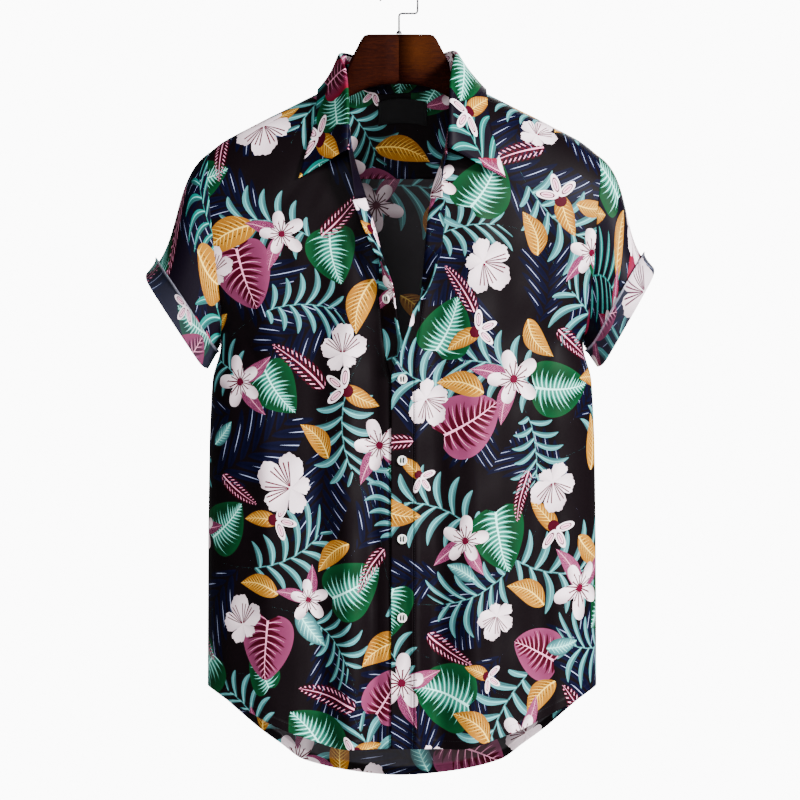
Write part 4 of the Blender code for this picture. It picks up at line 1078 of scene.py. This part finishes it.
right_top, left_top = (yoke_top(fronts[side]) for side in SIDES)
top, top_turns = (np.concatenate((right[::-1], left[1:]))
                  for right, left in zip(right_top, left_top))
seam = back_points[-1]
seam_turns = turn_at_height(seam[:, 0], YOKE_SEAM)
up = np.linspace(0.0, 1.0, YOKE_ROWS + 1)[:, None]
turn = seam_turns + (top_turns - seam_turns) * up
x = seam[:, 0] + (top[:, 0] - seam[:, 0]) * up
for _ in range(ROUNDS):
    z = over_shoulder(x, turn)[..., 2]
    x[:, 0] = armhole_x(RIGHT, z[:, 0])
    x[:, -1] = armhole_x(LEFT, z[:, -1])
yoke_points = over_shoulder(x, turn)
yoke_points[0] = seam
yoke_points[-1] = top
yoke_cloth = shell("yoke_cloth", yoke_points, cut_from_middle(yoke_points, 0, YOKE_PRINT),
                   (printed_cloth,), turned=True, thick=DOUBLE_THICK)
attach(yoke_cloth, "root")
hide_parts("yoke")

# ================================================================ front bands
# The fronts' edges, folded into bands two layers thick. Above the top fastened button they
# roll outwards and lie open along the V.

BAND_WIDTH = 0.024
BAND_BEND = 0.003
BAND_LEAVES = math.radians(20)      # turned by less than this, a band still lies on the body
BAND_TOP = -0.250
BAND_STEPS = np.linspace(0.0, BAND_WIDTH, 17)
BAND_PRINTS = {RIGHT: (0.717, 0.852), LEFT: FRONT_PRINTS[LEFT]}


def edge_frames(line, normals, towards):
    """At each point of an edge, the direction that leads on over the edge, in the surface,
    and the surface's normal."""
    tangent = unit(np.gradient(line, axis=0))
    normal = unit(normals - tangent * dot(normals, tangent))
    inward = unit(np.cross(normal, tangent))
    return np.where(dot(inward, towards) < 0, -inward, inward), normal


def bent_strip(start, inward, normal, angle, radius, steps):
    """Strips that leave a surface flat, bend by an angle and run on."""
    arc = np.minimum(steps / radius, angle[:, None])
    rest = steps - arc * radius
    along = radius * np.sin(arc) + rest * np.cos(arc)
    out = radius * (1 - np.cos(arc)) + rest * np.sin(arc)
    return (start[:, None] + inward[:, None] * along[..., None]
            + normal[:, None] * out[..., None])


def band_points(side, front):
    """Rows up the front's edge, columns from the seam on over the edge."""
    line = front[:BAND_ROWS, 0]
    normals = grid_normals(front)[:BAND_ROWS, 0] * side
    inward, normal = edge_frames(line, normals, np.array((-side, 0.0, 0.0)))
    angle = np.radians(front_edge(side, np.minimum(line[:, 2], BAND_TOP), 2))
    bent = bent_strip(line, inward, normal, angle, BAND_BEND, BAND_STEPS)
    turned = np.minimum(angle / BAND_LEAVES, 1.0)[:, None, None]
    x = line[:, None, 0] - side * BAND_STEPS
    flat = hanging(x, line[:, None, 2], FRONT)
    flat[..., 1] -= lift(side, x, flat[..., 2])
    return bent * turned + flat * (1 - turned)


bands = {side: band_points(side, fronts[side]) for side in SIDES}
for side, word in SIDES.items():
    u = bands[side][:, :1, 0] - side * BAND_STEPS
    places = np.stack((u, bands[side][:, :1, 2] + 0 * u), axis=-1) + BAND_PRINTS[side]
    band = shell("front_band_%s_cloth" % word, bands[side], places, (printed_cloth,),
                 turned=side == LEFT, thick=DOUBLE_THICK)
    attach(band, "root")
    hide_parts("front_band_" + word)

# ================================================================ collar
# A stand sewn round the neckline with a turned-down leaf sewn to its fold, both two layers
# with interfacing. It is worn open, so the stand's ends hang outwards.

STAND_HEIGHT = 0.030
STAND_END_HEIGHT = 0.0235
STAND_END = 0.82            # share of the way to an end, beyond which the stand gets lower
STAND_BEND = 0.004
STAND_STEPS = np.linspace(0.0, 1.0, 17)[:, None]
NECK_AXIS_Y = -0.020
NECK_SOFTNESS = 0.011       # how far along the seam the stand's turning is spread
STAND_ANGLE = (
    # share, angle in degrees
    (0.00, 18.0),
    (0.22, 34.0),
    (0.36, 52.0),
    (0.58, 76.0),
    (0.75, 92.0),
    (0.88, 106.0),
    (1.00, 142.0),
)
STAND_PRINT = (1.37, 0.66)
LEAF_CLEARANCE = 0.0024
LEAF_ROLL = 0.011
LEAF_FRONT = 0.80           # share of the way to the stand's end at which the leaf ends
LEAF_EASE = 0.45
LEAF_BELLY = 0.006
LEAF_STEPS = np.linspace(0.0, 1.0, 40)[:, None, None]
LEAF_EDGE = (
    # share, out, turn
    (0.00, 0.000, 38.5),
    (0.18, 0.036, 36.0),
    (0.32, 0.064, 30.0),
    (0.45, 0.083, 16.0),
    (0.55, 0.090, 0.0),
    (0.70, 0.093, -27.0),
    (0.84, 0.097, -41.0),
    (1.00, 0.113, -62.5),
)
LEAF_THICK = 0.0012
LEAF_PRINT = (0.939, 2.928)


def shares_from_middle(line):
    """Share of the way from the middle of a line to its end, on both sides."""
    reached = shares_along(line)
    centre = reached[len(line) // 2]
    return np.abs(reached - centre) / np.where(reached < centre, centre, 1 - centre)


def shares_along(line):
    reached = run_lengths(line)
    return reached / reached[-1]


def softened(line, directions):
    """Directions along a line, averaged with their neighbours."""
    reached = run_lengths(line)
    near = np.exp(-0.5 * ((reached[:, None] - reached) / NECK_SOFTNESS) ** 2)
    return unit((near * np.gradient(reached)) @ directions)


def shoulder_normal(x, turn, aside=0.001, degrees=0.5):
    across = over_shoulder(x + aside, turn) - over_shoulder(x - aside, turn)
    onward = over_shoulder(x, turn + degrees) - over_shoulder(x, turn - degrees)
    return unit(np.cross(across, onward))


first = BAND_ROWS - 1
back_neck = slice(FRONT_COLUMNS, FRONT_COLUMNS + 2 * NECK_COLUMNS + 1)


def round_neck(right, back, left):
    """A grid's values along the neckline, from the right front's edge to the left one's."""
    return np.concatenate((right[first:-1, 0], back[-1, back_neck], left[first:-1, 0][::-1]))


neck = round_neck(fronts[RIGHT], yoke_points, fronts[LEFT])
neck_normals = round_neck(-grid_normals(fronts[RIGHT]), -grid_normals(yoke_points),
                          grid_normals(fronts[LEFT]))
towards = np.stack((-neck[:, 0], NECK_AXIS_Y - neck[:, 1], 0 * neck[:, 0]), axis=1)
inward, normal = (softened(neck, way) for way in edge_frames(neck, neck_normals, towards))
normal = unit(normal - inward * dot(normal, inward))
to_end = shares_from_middle(neck)
angle = np.radians(smooth(STAND_ANGLE, to_end, 1))
height = STAND_HEIGHT + (STAND_END_HEIGHT - STAND_HEIGHT) * eased(
    (to_end - STAND_END) / (1 - STAND_END))
stand_points = bent_strip(neck, inward, normal, angle, STAND_BEND,
                          (STAND_STEPS * height).T).transpose(1, 0, 2)
places = np.stack((run_lengths(neck) + 0 * STAND_STEPS, STAND_STEPS * height), axis=-1)
stand_cloth = shell("collar_stand_cloth", stand_points, places + STAND_PRINT, (rich_cloth,),
                    turned=True, thick=DOUBLE_THICK)
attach(stand_cloth, "root")
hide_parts("collar_stand")

fold = stand_points[-1]
to_end = shares_from_middle(fold) / LEAF_FRONT
kept = to_end <= 1.01
side_of = np.where(np.arange(len(fold)) < len(fold) // 2, RIGHT, LEFT)[kept]
rise = softened(fold, unit(fold - stand_points[-2]))[kept]
to_end = np.minimum(to_end[kept], 1.0)
fold = fold[kept]
x = BODY_CENTRE + side_of * smooth(LEAF_EDGE, to_end, 1)
turn = smooth(LEAF_EDGE, to_end, 2)
normal = shoulder_normal(x, turn)
edge = over_shoulder(x, turn) + normal * (LEAF_CLEARANCE + LEAF_THICK)
back_up = fold - edge
back_up = unit(back_up - normal * dot(back_up, normal))
reach = np.linalg.norm(fold - edge, axis=1, keepdims=True)
t = LEAF_STEPS
leaf_points = ((1 - t) ** 3 * fold + 3 * t * (1 - t) ** 2 * (fold + rise * LEAF_ROLL)
               + 3 * t * t * (1 - t) * (edge + back_up * reach * LEAF_EASE + normal * LEAF_BELLY)
               + t ** 3 * edge)
down = run_lengths(leaf_points)
places = np.stack((run_lengths(fold) + 0 * down, -down), axis=-1)
leaf_cloth = shell("collar_leaf_cloth", leaf_points, places + LEAF_PRINT, (rich_cloth,),
                   turned=True, thick=LEAF_THICK)
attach(leaf_cloth, "root")
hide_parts("collar_leaf")

# ================================================================ sleeves and cuffs
# Short set-in sleeves. Each ends in a cuff of its own cloth, turned up so that the pale
# wrong side shows, and fastened at its upper edge.

SLEEVES = (
    # side, places of sleeve and cuff on the bolt, top_out, top_z, bottom_out, bottom_z
    (RIGHT, (0.012, 2.271), (1.803, 1.935), 0.2849, -0.3315, 0.2167, -0.4360),
    (LEFT, (0.222, 0.933), (0.876, 0.708), 0.2805, -0.3245, 0.2185, -0.4340),
)
SLEEVE_HALF_DEPTH = 0.050
SLEEVE_OUT = 0.84
SLEEVE_UP = -0.54
SLEEVE_GIRTH = 0.33
CREASE_TOP = -0.345
CREASE_GAP = 0.0003
CUFF_WIDTH = 0.026
CUFF_FLARE = 0.0030
CUFF_ROLL = 0.0016          # its upper edge is rolled over
CUFF_DRAWN = 0.0036         # the fold is drawn in where the sleeve lies doubled
CUFF_DRAWN_POWER = 14       # how near to the doubled ends that stays
CUFF_DRAWN_FROM = 1.6 / 2.6     # share of the cuff's width, counted towards the fold
ROLLED_EDGE = 0.0030        # how much of it gets the pale painted highlight
LAYER_GAP = 0.0004
FOLD_ROOM = 0.0002          # inside the cuff's fold
SLEEVE_STEPS = np.linspace(0.0, 1.0, 46)
CUFF_STEPS = np.linspace(0.0, 1.0, 27)
CUFF_ROUND = np.linspace(0.0, math.pi, 9)[1:]


def ring_shares(loop):
    return shares_along(np.concatenate((loop, loop[:1])))


def armhole_loop(front, column):
    """The armhole's points from the shoulder seam down the front and up the back."""
    first = len(HEM_ROWS) - 1
    down = front[first:, -1][::-1]
    loop = np.concatenate((down, back_points[first + 1:, column], yoke_points[1:-1, column]))
    return loop, len(down) - 1


def sleeve_curves(side, loop, low, top_out, top_z, bottom_out, bottom_z):
    """For each armhole point, the curve along the sleeve to its opening: its start, its
    slopes at both ends and its end."""
    highest = np.array((BODY_CENTRE + side * top_out, 0.0, top_z))
    lowest = np.array((BODY_CENTRE + side * bottom_out, 0.0, bottom_z))
    radius = (highest - lowest) / 2
    axis = unit(np.array((-radius[2], 0.0, radius[0])))
    axis = axis * (side * np.sign(axis[0]))
    reached = ring_shares(loop)[:-1]
    start_angle = math.radians(SHOULDER_SEAM_TURN)
    before = start_angle + (math.pi - start_angle) * reached / reached[low]
    after = math.pi + (math.pi + start_angle) * (reached - reached[low]) / (1 - reached[low])
    angle = np.where(np.arange(len(loop)) <= low, before, after)[:, None]
    end = (highest + lowest) / 2 + radius * np.cos(angle)
    end = end - np.array((0.0, SLEEVE_HALF_DEPTH, 0.0)) * np.sin(angle)
    low_share = np.clip((CREASE_TOP - loop[:, 2:]) / (CREASE_TOP - UNDERARM), 0.0, 1.0)
    start = loop + np.array((side * CREASE_GAP, 0.0, 0.0)) * low_share
    straight = end - start
    reach = np.linalg.norm(straight, axis=1, keepdims=True)
    upper = np.cos(angle / 2) ** 2
    leave = straight * (1 - upper) + np.array((side * SLEEVE_OUT, 0.0, SLEEVE_UP)) * reach * upper
    arrive = straight * (1 - upper) + axis * reach * upper
    return start, leave, arrive, end


def ring_places(points, shares, way, place):
    """Places on the flat cut of a ring of cloth, with its rows up (1) or down (-1)."""
    v = run_lengths(points)
    v = np.concatenate((v, v[:, :1]), axis=1) * way
    return np.stack((shares * SLEEVE_GIRTH + 0 * v, v), axis=-1) + place


for side, print_place, cuff_place, *opening in SLEEVES:
    word = SIDES[side]
    loop, low = armhole_loop(fronts[side], 0 if side == RIGHT else -1)
    curves = sleeve_curves(side, loop, low, *opening)
    fine = np.stack([between(*curves, t) for t in np.linspace(0, 1, 41)])
    cuff_start = 1.0 - CUFF_WIDTH / run_lengths(fine)[-1][:, None]
    rows = [between(*curves, cuff_start * t) for t in SLEEVE_STEPS]
    rows += [between(*curves, cuff_start + (1 - cuff_start) * t) for t in CUFF_STEPS[1:]]
    points = np.stack(rows)
    ring = points[-1]
    height = (ring[:, 2] - ring[:, 2].min()) / (ring[:, 2].max() - ring[:, 2].min())
    drawn = CUFF_DRAWN * np.abs(2 * height - 1)[:, None] ** CUFF_DRAWN_POWER
    late = np.clip((CUFF_STEPS - CUFF_DRAWN_FROM) / (1 - CUFF_DRAWN_FROM), 0.0, 1.0) ** 2
    points[-len(CUFF_STEPS):] -= unit(ring - points[-2]) * drawn * late[:, None, None]
    places = ring_places(points, ring_shares(loop), -1, print_place)
    sleeve = shell("sleeve_%s_cloth" % word, points, places, (rich_cloth, wrong_side),
                   closed=True, turned=side == RIGHT)
    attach(sleeve, "root")
    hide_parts("sleeve_" + word)

    first = len(SLEEVE_STEPS) - 1
    wrapped = np.concatenate((points[:, -1:], points, points[:, :1]), axis=1)
    out = grid_normals(wrapped)[first:, 1:-1] * side
    rings = points[first:]
    lowest, highest = rings[0][:, 2].min(), rings[0][:, 2].max()
    upper = np.clip((rings[..., 2:] - lowest) / (highest - lowest), 0.0, 1.0)
    steps = CUFF_STEPS[:, None, None]
    flare = CUFF_FLARE * (1 - steps) * upper
    flare = flare + CUFF_ROLL * np.exp(-(steps * CUFF_WIDTH / ROLLED_EDGE) ** 2)
    cuff = rings + out * (LAYER_GAP + CLOTH_THICK + flare)
    onward = unit(rings[-1] - rings[-2])
    half = (LAYER_GAP + CLOTH_THICK * 2 + FOLD_ROOM) / 2 + CLOTH_THICK / 2
    centre = rings[-1] + out[-1] * (LAYER_GAP + CLOTH_THICK - half)
    fold_rows = [centre + out[-1] * half * math.cos(a) + onward * half * math.sin(a)
                 for a in CUFF_ROUND]
    cuff = np.concatenate((cuff, np.stack(fold_rows)))
    places = ring_places(cuff, ring_shares(loop), 1, cuff_place)
    cuff_cloth = shell("cuff_%s_cloth" % word, cuff, places, (turned_up,), closed=True,
                       turned=side == RIGHT)
    # the band along the rolled edge that the cuff's material paints pale, as a painted highlight
    up = np.array([corner.uv[1] for corner in cuff_cloth.data.uv_layers["cut"].data])
    edge = cuff_cloth.data.attributes.new("rolled_edge", "FLOAT", "CORNER")
    edge.data.foreach_set("value", eased((ROLLED_EDGE - up + cuff_place[1]) / HEM_STEP))
    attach(cuff_cloth, "root")
    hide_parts("cuff_" + word)

# ================================================================ neck label
# A woven satin label, left blank. Its ends are folded under, and it is sewn inside the back
# of the neck, below the collar stand.

LABEL_X = 0.004
LABEL_HALF_WIDTH = 0.0275
LABEL_THICK = 0.0005
LABEL_GAP = 0.0009          # from the inside of the yoke
LABEL_TURNS = np.linspace(35.5, 47.0, 25)
LABEL_SHARES = np.linspace(-1.0, 1.0, 49)
LABEL_FOLD = 0.88           # beyond this share its ends are double
LABEL_FOLD_STEP = 0.03
LABEL_BULGE = 0.0006
LABEL_RIB = 0.00035
LABEL_PLACE = (0.0, 0.4)
LABEL_DARK = (0.0015, 0.0015, 0.0020, 1.0)
LABEL_LIGHT = (0.0035, 0.0035, 0.0045, 1.0)

satin, inputs = new_material("woven_label")
place = cut_place(satin)
ribs = (parts(place)[1] * (FULL_TURN / LABEL_RIB)).sine()
threads = use(weave, Place=place)
give(inputs, {
    "Base Color": over(LABEL_DARK, LABEL_LIGHT, threads["Tone"] * 1.6 + 0.5),
    "Roughness": threads["Tone"] * 0.3 + 0.60, "Specular IOR Level": 0.12,
    "Normal": bump(0.3, 0.0001, ribs * 0.5 + threads["Height"])})

across, turns = np.meshgrid(LABEL_SHARES, LABEL_TURNS)
x = LABEL_X + LABEL_HALF_WIDTH * across
double = eased((np.abs(across) - LABEL_FOLD) / LABEL_FOLD_STEP) * LABEL_THICK
bulge = LABEL_BULGE * (1 - across ** 2) * (0.6 + 0.4 * np.sin(9.0 * turns / LABEL_TURNS[-1]))
inside = CLOTH_THICK + LABEL_GAP + LABEL_THICK + double + bulge
label_points = over_shoulder(x, turns) - shoulder_normal(x, turns) * inside[..., None]
places = cut_lengths(label_points, np.zeros(len(label_points)), 0) + LABEL_PLACE
label = shell("neck_label_cloth", label_points, places, (satin,), turned=True,
              thick=LABEL_THICK)
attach(label, "root")
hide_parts("neck_label")

# ================================================================ buttons
# Four-hole shirt buttons of white resin, turned with a raised rim, and sewn on with two
# bars of dark thread.

BUTTON_RADIUS = 0.00535
BUTTON_THICK = 0.0022
BUTTON_PROFILE = (
    # out, height over the button's middle, both as shares
    (0.00, 0.20), (0.40, 0.20), (0.66, 0.24), (0.74, 0.44), (0.79, 0.86), (0.83, 0.98),
    (0.89, 1.00), (0.95, 0.86), (0.99, 0.50), (1.00, 0.10), (0.98, -0.40), (0.90, -0.84),
    (0.80, -1.00), (0.40, -1.00), (0.00, -1.00),
)
BUTTON_STEPS = 40
BUTTON_SHARP = math.radians(38)     # edges that turn by more than this stay crisp
HOLE_ACROSS = 0.00145       # from the middle to each hole's middle
HOLE_UP = 0.00250
HOLE_RADIUS = 0.00078
THREAD_RADIUS = 0.00027
THREAD_SIDES = 8
STRANDS = (-0.00054, -0.00018, 0.00018, 0.00054)
STRAND_STEPS = (-1.0, -0.92, -0.6, -0.2, 0.2, 0.6, 0.92, 1.0)
RESIN_DULL = (0.74, 0.72, 0.68, 1.0)
RESIN_BRIGHT = (0.86, 0.85, 0.83, 1.0)
THREAD_DARK = (0.0015, 0.0015, 0.0025, 1.0)
THREAD_LIGHT = (0.008, 0.008, 0.011, 1.0)


def object_place(material):
    """The place on an object, in metres."""
    return lay_whole("TexCoord", tree=material.node_tree)["Object"]


resin, inputs = new_material("button_white")
place = object_place(resin)
clouds, scuffs = noise(place, 3.0), noise(place, 2.0)
give(inputs, {
    "Base Color": over(RESIN_DULL, RESIN_BRIGHT, clouds), "Roughness": scuffs * 0.3 + 0.12,
    "Subsurface Weight": 0.12, "Subsurface Scale": 0.001, "Coat Weight": 0.3,
    "Normal": bump(0.12, 0.00005, scuffs)})

sewing_thread, inputs = new_material("dark_thread")
fibres = noise(object_place(sewing_thread), 2.0)
give(inputs, {
    "Base Color": over(THREAD_DARK, THREAD_LIGHT, fibres), "Roughness": fibres * 0.3 + 0.5,
    "Specular IOR Level": 0.2, "Normal": bump(0.3, 0.0001, fibres)})


def turned_button():
    """One button, flat, its face towards +Z, with its holes cut."""
    disc = bmesh.new()
    rim = [disc.verts.new((out * BUTTON_RADIUS, 0.0, up * BUTTON_THICK / 2))
           for out, up in BUTTON_PROFILE]
    edges = [disc.edges.new(pair) for pair in zip(rim, rim[1:])]
    bmesh.ops.spin(disc, geom=rim + edges, cent=(0, 0, 0), axis=(0, 0, 1), angle=FULL_TURN,
                   steps=BUTTON_STEPS, use_merge=True)
    bmesh.ops.remove_doubles(disc, verts=disc.verts, dist=1e-7)
    bmesh.ops.recalc_face_normals(disc, faces=disc.faces)
    drill = bmesh.new()
    for across in (-HOLE_ACROSS, HOLE_ACROSS):
        for up in (-HOLE_UP, HOLE_UP):
            bmesh.ops.create_cone(drill, cap_ends=True, segments=14, radius1=HOLE_RADIUS,
                                  radius2=HOLE_RADIUS, depth=BUTTON_THICK * 2,
                                  matrix=Matrix.Translation((across, up, 0.0)))
    made = [object_from(disc, "disc"), object_from(drill, "drill")]
    cut = made[0].modifiers.new("holes", "BOOLEAN")
    cut.object = made[1]
    cut.solver = "EXACT"
    bpy.context.view_layer.update()
    drilled = made[0].evaluated_get(bpy.context.evaluated_depsgraph_get())
    mesh = bpy.data.meshes.new_from_object(drilled)
    for leftover in made:
        bpy.data.objects.remove(leftover, do_unlink=True)
    return mesh


def tube(shape, path, radius, sides):
    """A round thread along a path, closed at both ends."""
    path = [Vector(p) for p in path]
    ring = None
    for k, point in enumerate(path):
        heading = (path[min(k + 1, len(path) - 1)] - path[max(k - 1, 0)]).normalized()
        turn = heading.to_track_quat("Z", "Y").to_matrix().to_4x4()
        made = bmesh.ops.create_circle(shape, cap_ends=k in (0, len(path) - 1), segments=sides,
                                       radius=radius, matrix=Matrix.Translation(point) @ turn)
        edges = list({edge for vertex in made["verts"] for edge in vertex.link_edges})
        if ring:
            bmesh.ops.bridge_loops(shape, edges=ring + edges)
        ring = edges


def strand_height(share):
    """Height of a strand over the button's middle. Its ends go down through the holes."""
    arch = 0.12 + 0.26 * math.cos(share * math.pi / 2) ** 0.5
    return BUTTON_THICK * (arch - (0.6 if abs(share) == 1.0 else 0.0))


button_mesh = turned_button()
for number in range(1, 6):
    name = "button_%d" % number
    corners = np.array([vertex.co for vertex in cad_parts[name].data.vertices])
    middle = (corners.max(axis=0) + corners.min(axis=0)) / 2
    out = np.linalg.svd(corners - corners.mean(axis=0))[2][2]
    out = out if out[1] < 0 else -out
    across = unit(np.cross((0.0, 0.0, 1.0), out))
    stand = Matrix(np.vstack((np.stack((across, np.cross(out, across), out, middle), axis=1),
                              (0, 0, 0, 1))))
    shape = bmesh.new()
    shape.from_mesh(button_mesh)
    bmesh.ops.transform(shape, matrix=stand, verts=shape.verts)
    disc = object_from(shape, name + "_face", resin)
    disc.data.shade_smooth()
    disc.data.set_sharp_from_angle(angle=BUTTON_SHARP)
    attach(disc, "root")
    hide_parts(name)

    shape = bmesh.new()
    for bar in (-HOLE_ACROSS, HOLE_ACROSS):
        for strand in STRANDS:
            arch = [(bar + strand, share * HOLE_UP, strand_height(share))
                    for share in STRAND_STEPS]
            tube(shape, arch, THREAD_RADIUS, THREAD_SIDES)
    bmesh.ops.transform(shape, matrix=stand, verts=shape.verts)
    sewn = object_from(shape, name + "_thread", sewing_thread)
    sewn.data.shade_smooth()
    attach(sewn, "root")

# ================================================================ stitching
# Lockstitch in dark thread, along the hems, the bands, the yoke, the shoulders and the collar
# leaf's edge. The thread sinks slightly into the cloth.

STITCH_PITCH = 0.0029
STITCH_SIZE = (0.00105, 0.00020, 0.00014)       # half of its length, width and height
HEM_STITCH = HEM_WIDTH - 0.0014
EDGE_STITCH = 0.0016
LEAF_STITCH = 0.0045


def at(points, i, j):
    """Points of a grid at fractional rows and columns."""
    i0 = np.clip(np.floor(i).astype(int), 0, points.shape[0] - 2)
    j0 = np.clip(np.floor(j).astype(int), 0, points.shape[1] - 2)
    a, b = (i - i0)[:, None], (j - j0)[:, None]
    return ((1 - a) * (1 - b) * points[i0, j0] + (1 - a) * b * points[i0, j0 + 1]
            + a * (1 - b) * points[i0 + 1, j0] + a * b * points[i0 + 1, j0 + 1])


def read(places, reached, values):
    """Values along a line at places on it."""
    return np.stack([np.interp(places, reached, column) for column in values.T], axis=-1)


def inside_edge(points, edge, distance):
    """Fractional rows or columns that lie a distance inside an edge of a grid."""
    lines = points if edge.endswith("row") else points.transpose(1, 0, 2)
    lines = lines if edge.startswith("first") else lines[::-1]
    steps = np.array([np.interp(distance, reached, np.arange(len(reached)))
                      for reached in run_lengths(lines).T])
    return steps if edge.startswith("first") else len(lines) - 1 - steps


def stitch_edge(shape, points, outwards, edge, distance, part=slice(None)):
    """Stitches that follow a part of an edge of a grid, at a distance inside it."""
    inside = inside_edge(points, edge, distance)
    lengthwise = np.arange(len(inside), dtype=float)
    i, j = (inside, lengthwise) if edge.endswith("row") else (lengthwise, inside)
    i, j = i[part], j[part]
    line, out = at(points, i, j), unit(at(grid_normals(points) * outwards, i, j))
    reached = run_lengths(line)
    for centre in np.arange(STITCH_PITCH, reached[-1] - STITCH_PITCH / 2, STITCH_PITCH):
        start, end = (read(centre + half, reached, line)
                      for half in (-STITCH_SIZE[0], STITCH_SIZE[0]))
        up = unit(read(centre, reached, out))
        run = unit(end - start)
        axes = np.stack((run, np.cross(up, run), up), axis=1) * STITCH_SIZE
        stand = np.vstack((np.column_stack((axes, (start + end) / 2)), (0, 0, 0, 1)))
        bmesh.ops.create_icosphere(shape, subdivisions=1, radius=1.0, matrix=Matrix(stand))


def stitching(name, *edges):
    shape = bmesh.new()
    for edge in edges:
        stitch_edge(shape, *edge)
    sewn = object_from(shape, name, sewing_thread)
    sewn.data.shade_smooth()
    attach(sewn, "root")


for side, word in SIDES.items():
    stitching("front_%s_stitching" % word,
              (fronts[side], side, "first_row", HEM_STITCH),
              (fronts[side], side, "first_column", EDGE_STITCH, slice(BAND_ROWS)))
stitching("back_stitching", (back_points, -1.0, "first_row", HEM_STITCH))
stitching("yoke_stitching",
          (yoke_points, -1.0, "first_row", EDGE_STITCH),
          (yoke_points, -1.0, "last_row", EDGE_STITCH, slice(FRONT_COLUMNS)),
          (yoke_points, -1.0, "last_row", EDGE_STITCH, slice(-FRONT_COLUMNS, None)))
corner = int(inside_edge(leaf_points, "first_column", LEAF_STITCH)[-1]) + 1
stitching("collar_stitching",
          (leaf_points, 1.0, "last_row", LEAF_STITCH, slice(corner, -corner)),
          (leaf_points, 1.0, "first_column", LEAF_STITCH),
          (leaf_points, 1.0, "last_column", LEAF_STITCH))

# ================================================================ hanger
# Two halves of walnut, rounded along their edges, glued at the middle and lacquered. A bent
# steel wire with a small collar screws into the top.

WALNUT_DARK = (0.0075, 0.0011, 0.0006, 1.0)
WALNUT = (0.0190, 0.0032, 0.0010, 1.0)
WALNUT_LIGHT = (0.0480, 0.0120, 0.0020, 1.0)
PAINTED_HIGHLIGHT_SPOT = (0.022, -0.010, -0.082)    # where a painted highlight makes the wood palest
PAINTED_HIGHLIGHT_REACH = 0.034
STEEL_DARK = (0.05, 0.05, 0.055, 1.0)
STEEL_WORN = (0.16, 0.16, 0.165, 1.0)
HANGER_SHARP = math.radians(42)
GLUE_HALF_WIDTH = 0.00025
GLUE_HALF_DEPTH = 0.0072
GLUE_TOP = -0.0646
GLUE_FOOT = -0.1184
GLUE_ROUND = 0.0035

walnut, inputs = new_material("walnut")
place = object_place(walnut)
clouds = noise(place, 3.0, lacunarity=0.6)
streaks = noise(vector("MULTIPLY", place, (22.0, 260.0, 300.0)), 5.0, 1.0, 0.62, 2.0)
pores = noise(vector("MULTIPLY", place, (120.0, 1700.0, 1900.0)), 2.0, 1.0)
pored = (pores - 0.60).maths("MULTIPLY", 7.0, clamp=True)
grain = over(WALNUT_DARK, WALNUT, (streaks * 2.6 - 0.86).clamped())
# Painted highlight: the wood is painted lighter round one spot at the plate's upper right, over
# its random lighter clouds.
away = vector("DISTANCE", place, PAINTED_HIGHLIGHT_SPOT)
painted_highlight_patch = (1.0 - away / PAINTED_HIGHLIGHT_REACH).at_least(0.0)
glow = clouds * 4.0 - 2.05 + streaks * 0.5 - 0.25 + painted_highlight_patch * 0.9
grain = over(grain, WALNUT_LIGHT, glow.maths("MULTIPLY", 0.8, clamp=True))
give(inputs, {
    "Base Color": over(grain, WALNUT_DARK, pored * 0.6), "Roughness": streaks * 0.25 + 0.60,
    "Specular IOR Level": 0.02, "Normal": bump(0.25, 0.0002, pored, invert=True)})

steel, inputs = new_material("dark_steel")
wear = noise(object_place(steel), 4.0)
give(inputs, {
    "Base Color": over(STEEL_DARK, STEEL_WORN, wear), "Metallic": 1.0,
    "Roughness": wear * 0.3 + 0.22, "Normal": bump(0.05, 0.0001, wear)})

for name, finish, slot in (("hanger_half_right", walnut, "walnut"),
                           ("hanger_half_left", walnut, "walnut"),
                           ("hanger_hook", steel, "dark_steel"),
                           ("hook_ferrule", steel, "dark_steel")):
    shape = bmesh.new()
    shape.from_mesh(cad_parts[name].data)
    bmesh.ops.remove_doubles(shape, verts=shape.verts, dist=1e-6)
    piece = object_from(shape, name + "_surface", finish)
    piece.data.shade_smooth()
    piece.data.set_sharp_from_angle(angle=HANGER_SHARP)
    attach(piece, "root")
    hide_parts(name)

glue = bmesh.new()
bmesh.ops.create_cube(glue, size=1.0, matrix=Matrix.Diagonal(
    (GLUE_HALF_WIDTH * 2, GLUE_HALF_DEPTH * 2, GLUE_TOP - GLUE_FOOT, 1.0)))
across = [edge for edge in glue.edges if abs(edge.verts[0].co.x - edge.verts[1].co.x) > 0]
bmesh.ops.bevel(glue, geom=across, offset=GLUE_ROUND, segments=6, profile=0.5, affect="EDGES",
                material=-1)
bmesh.ops.translate(glue, verts=glue.verts, vec=(0.0, 0.0, (GLUE_TOP + GLUE_FOOT) / 2))
glue_line = object_from(glue, "hanger_glue_line", walnut)
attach(glue_line, "root")
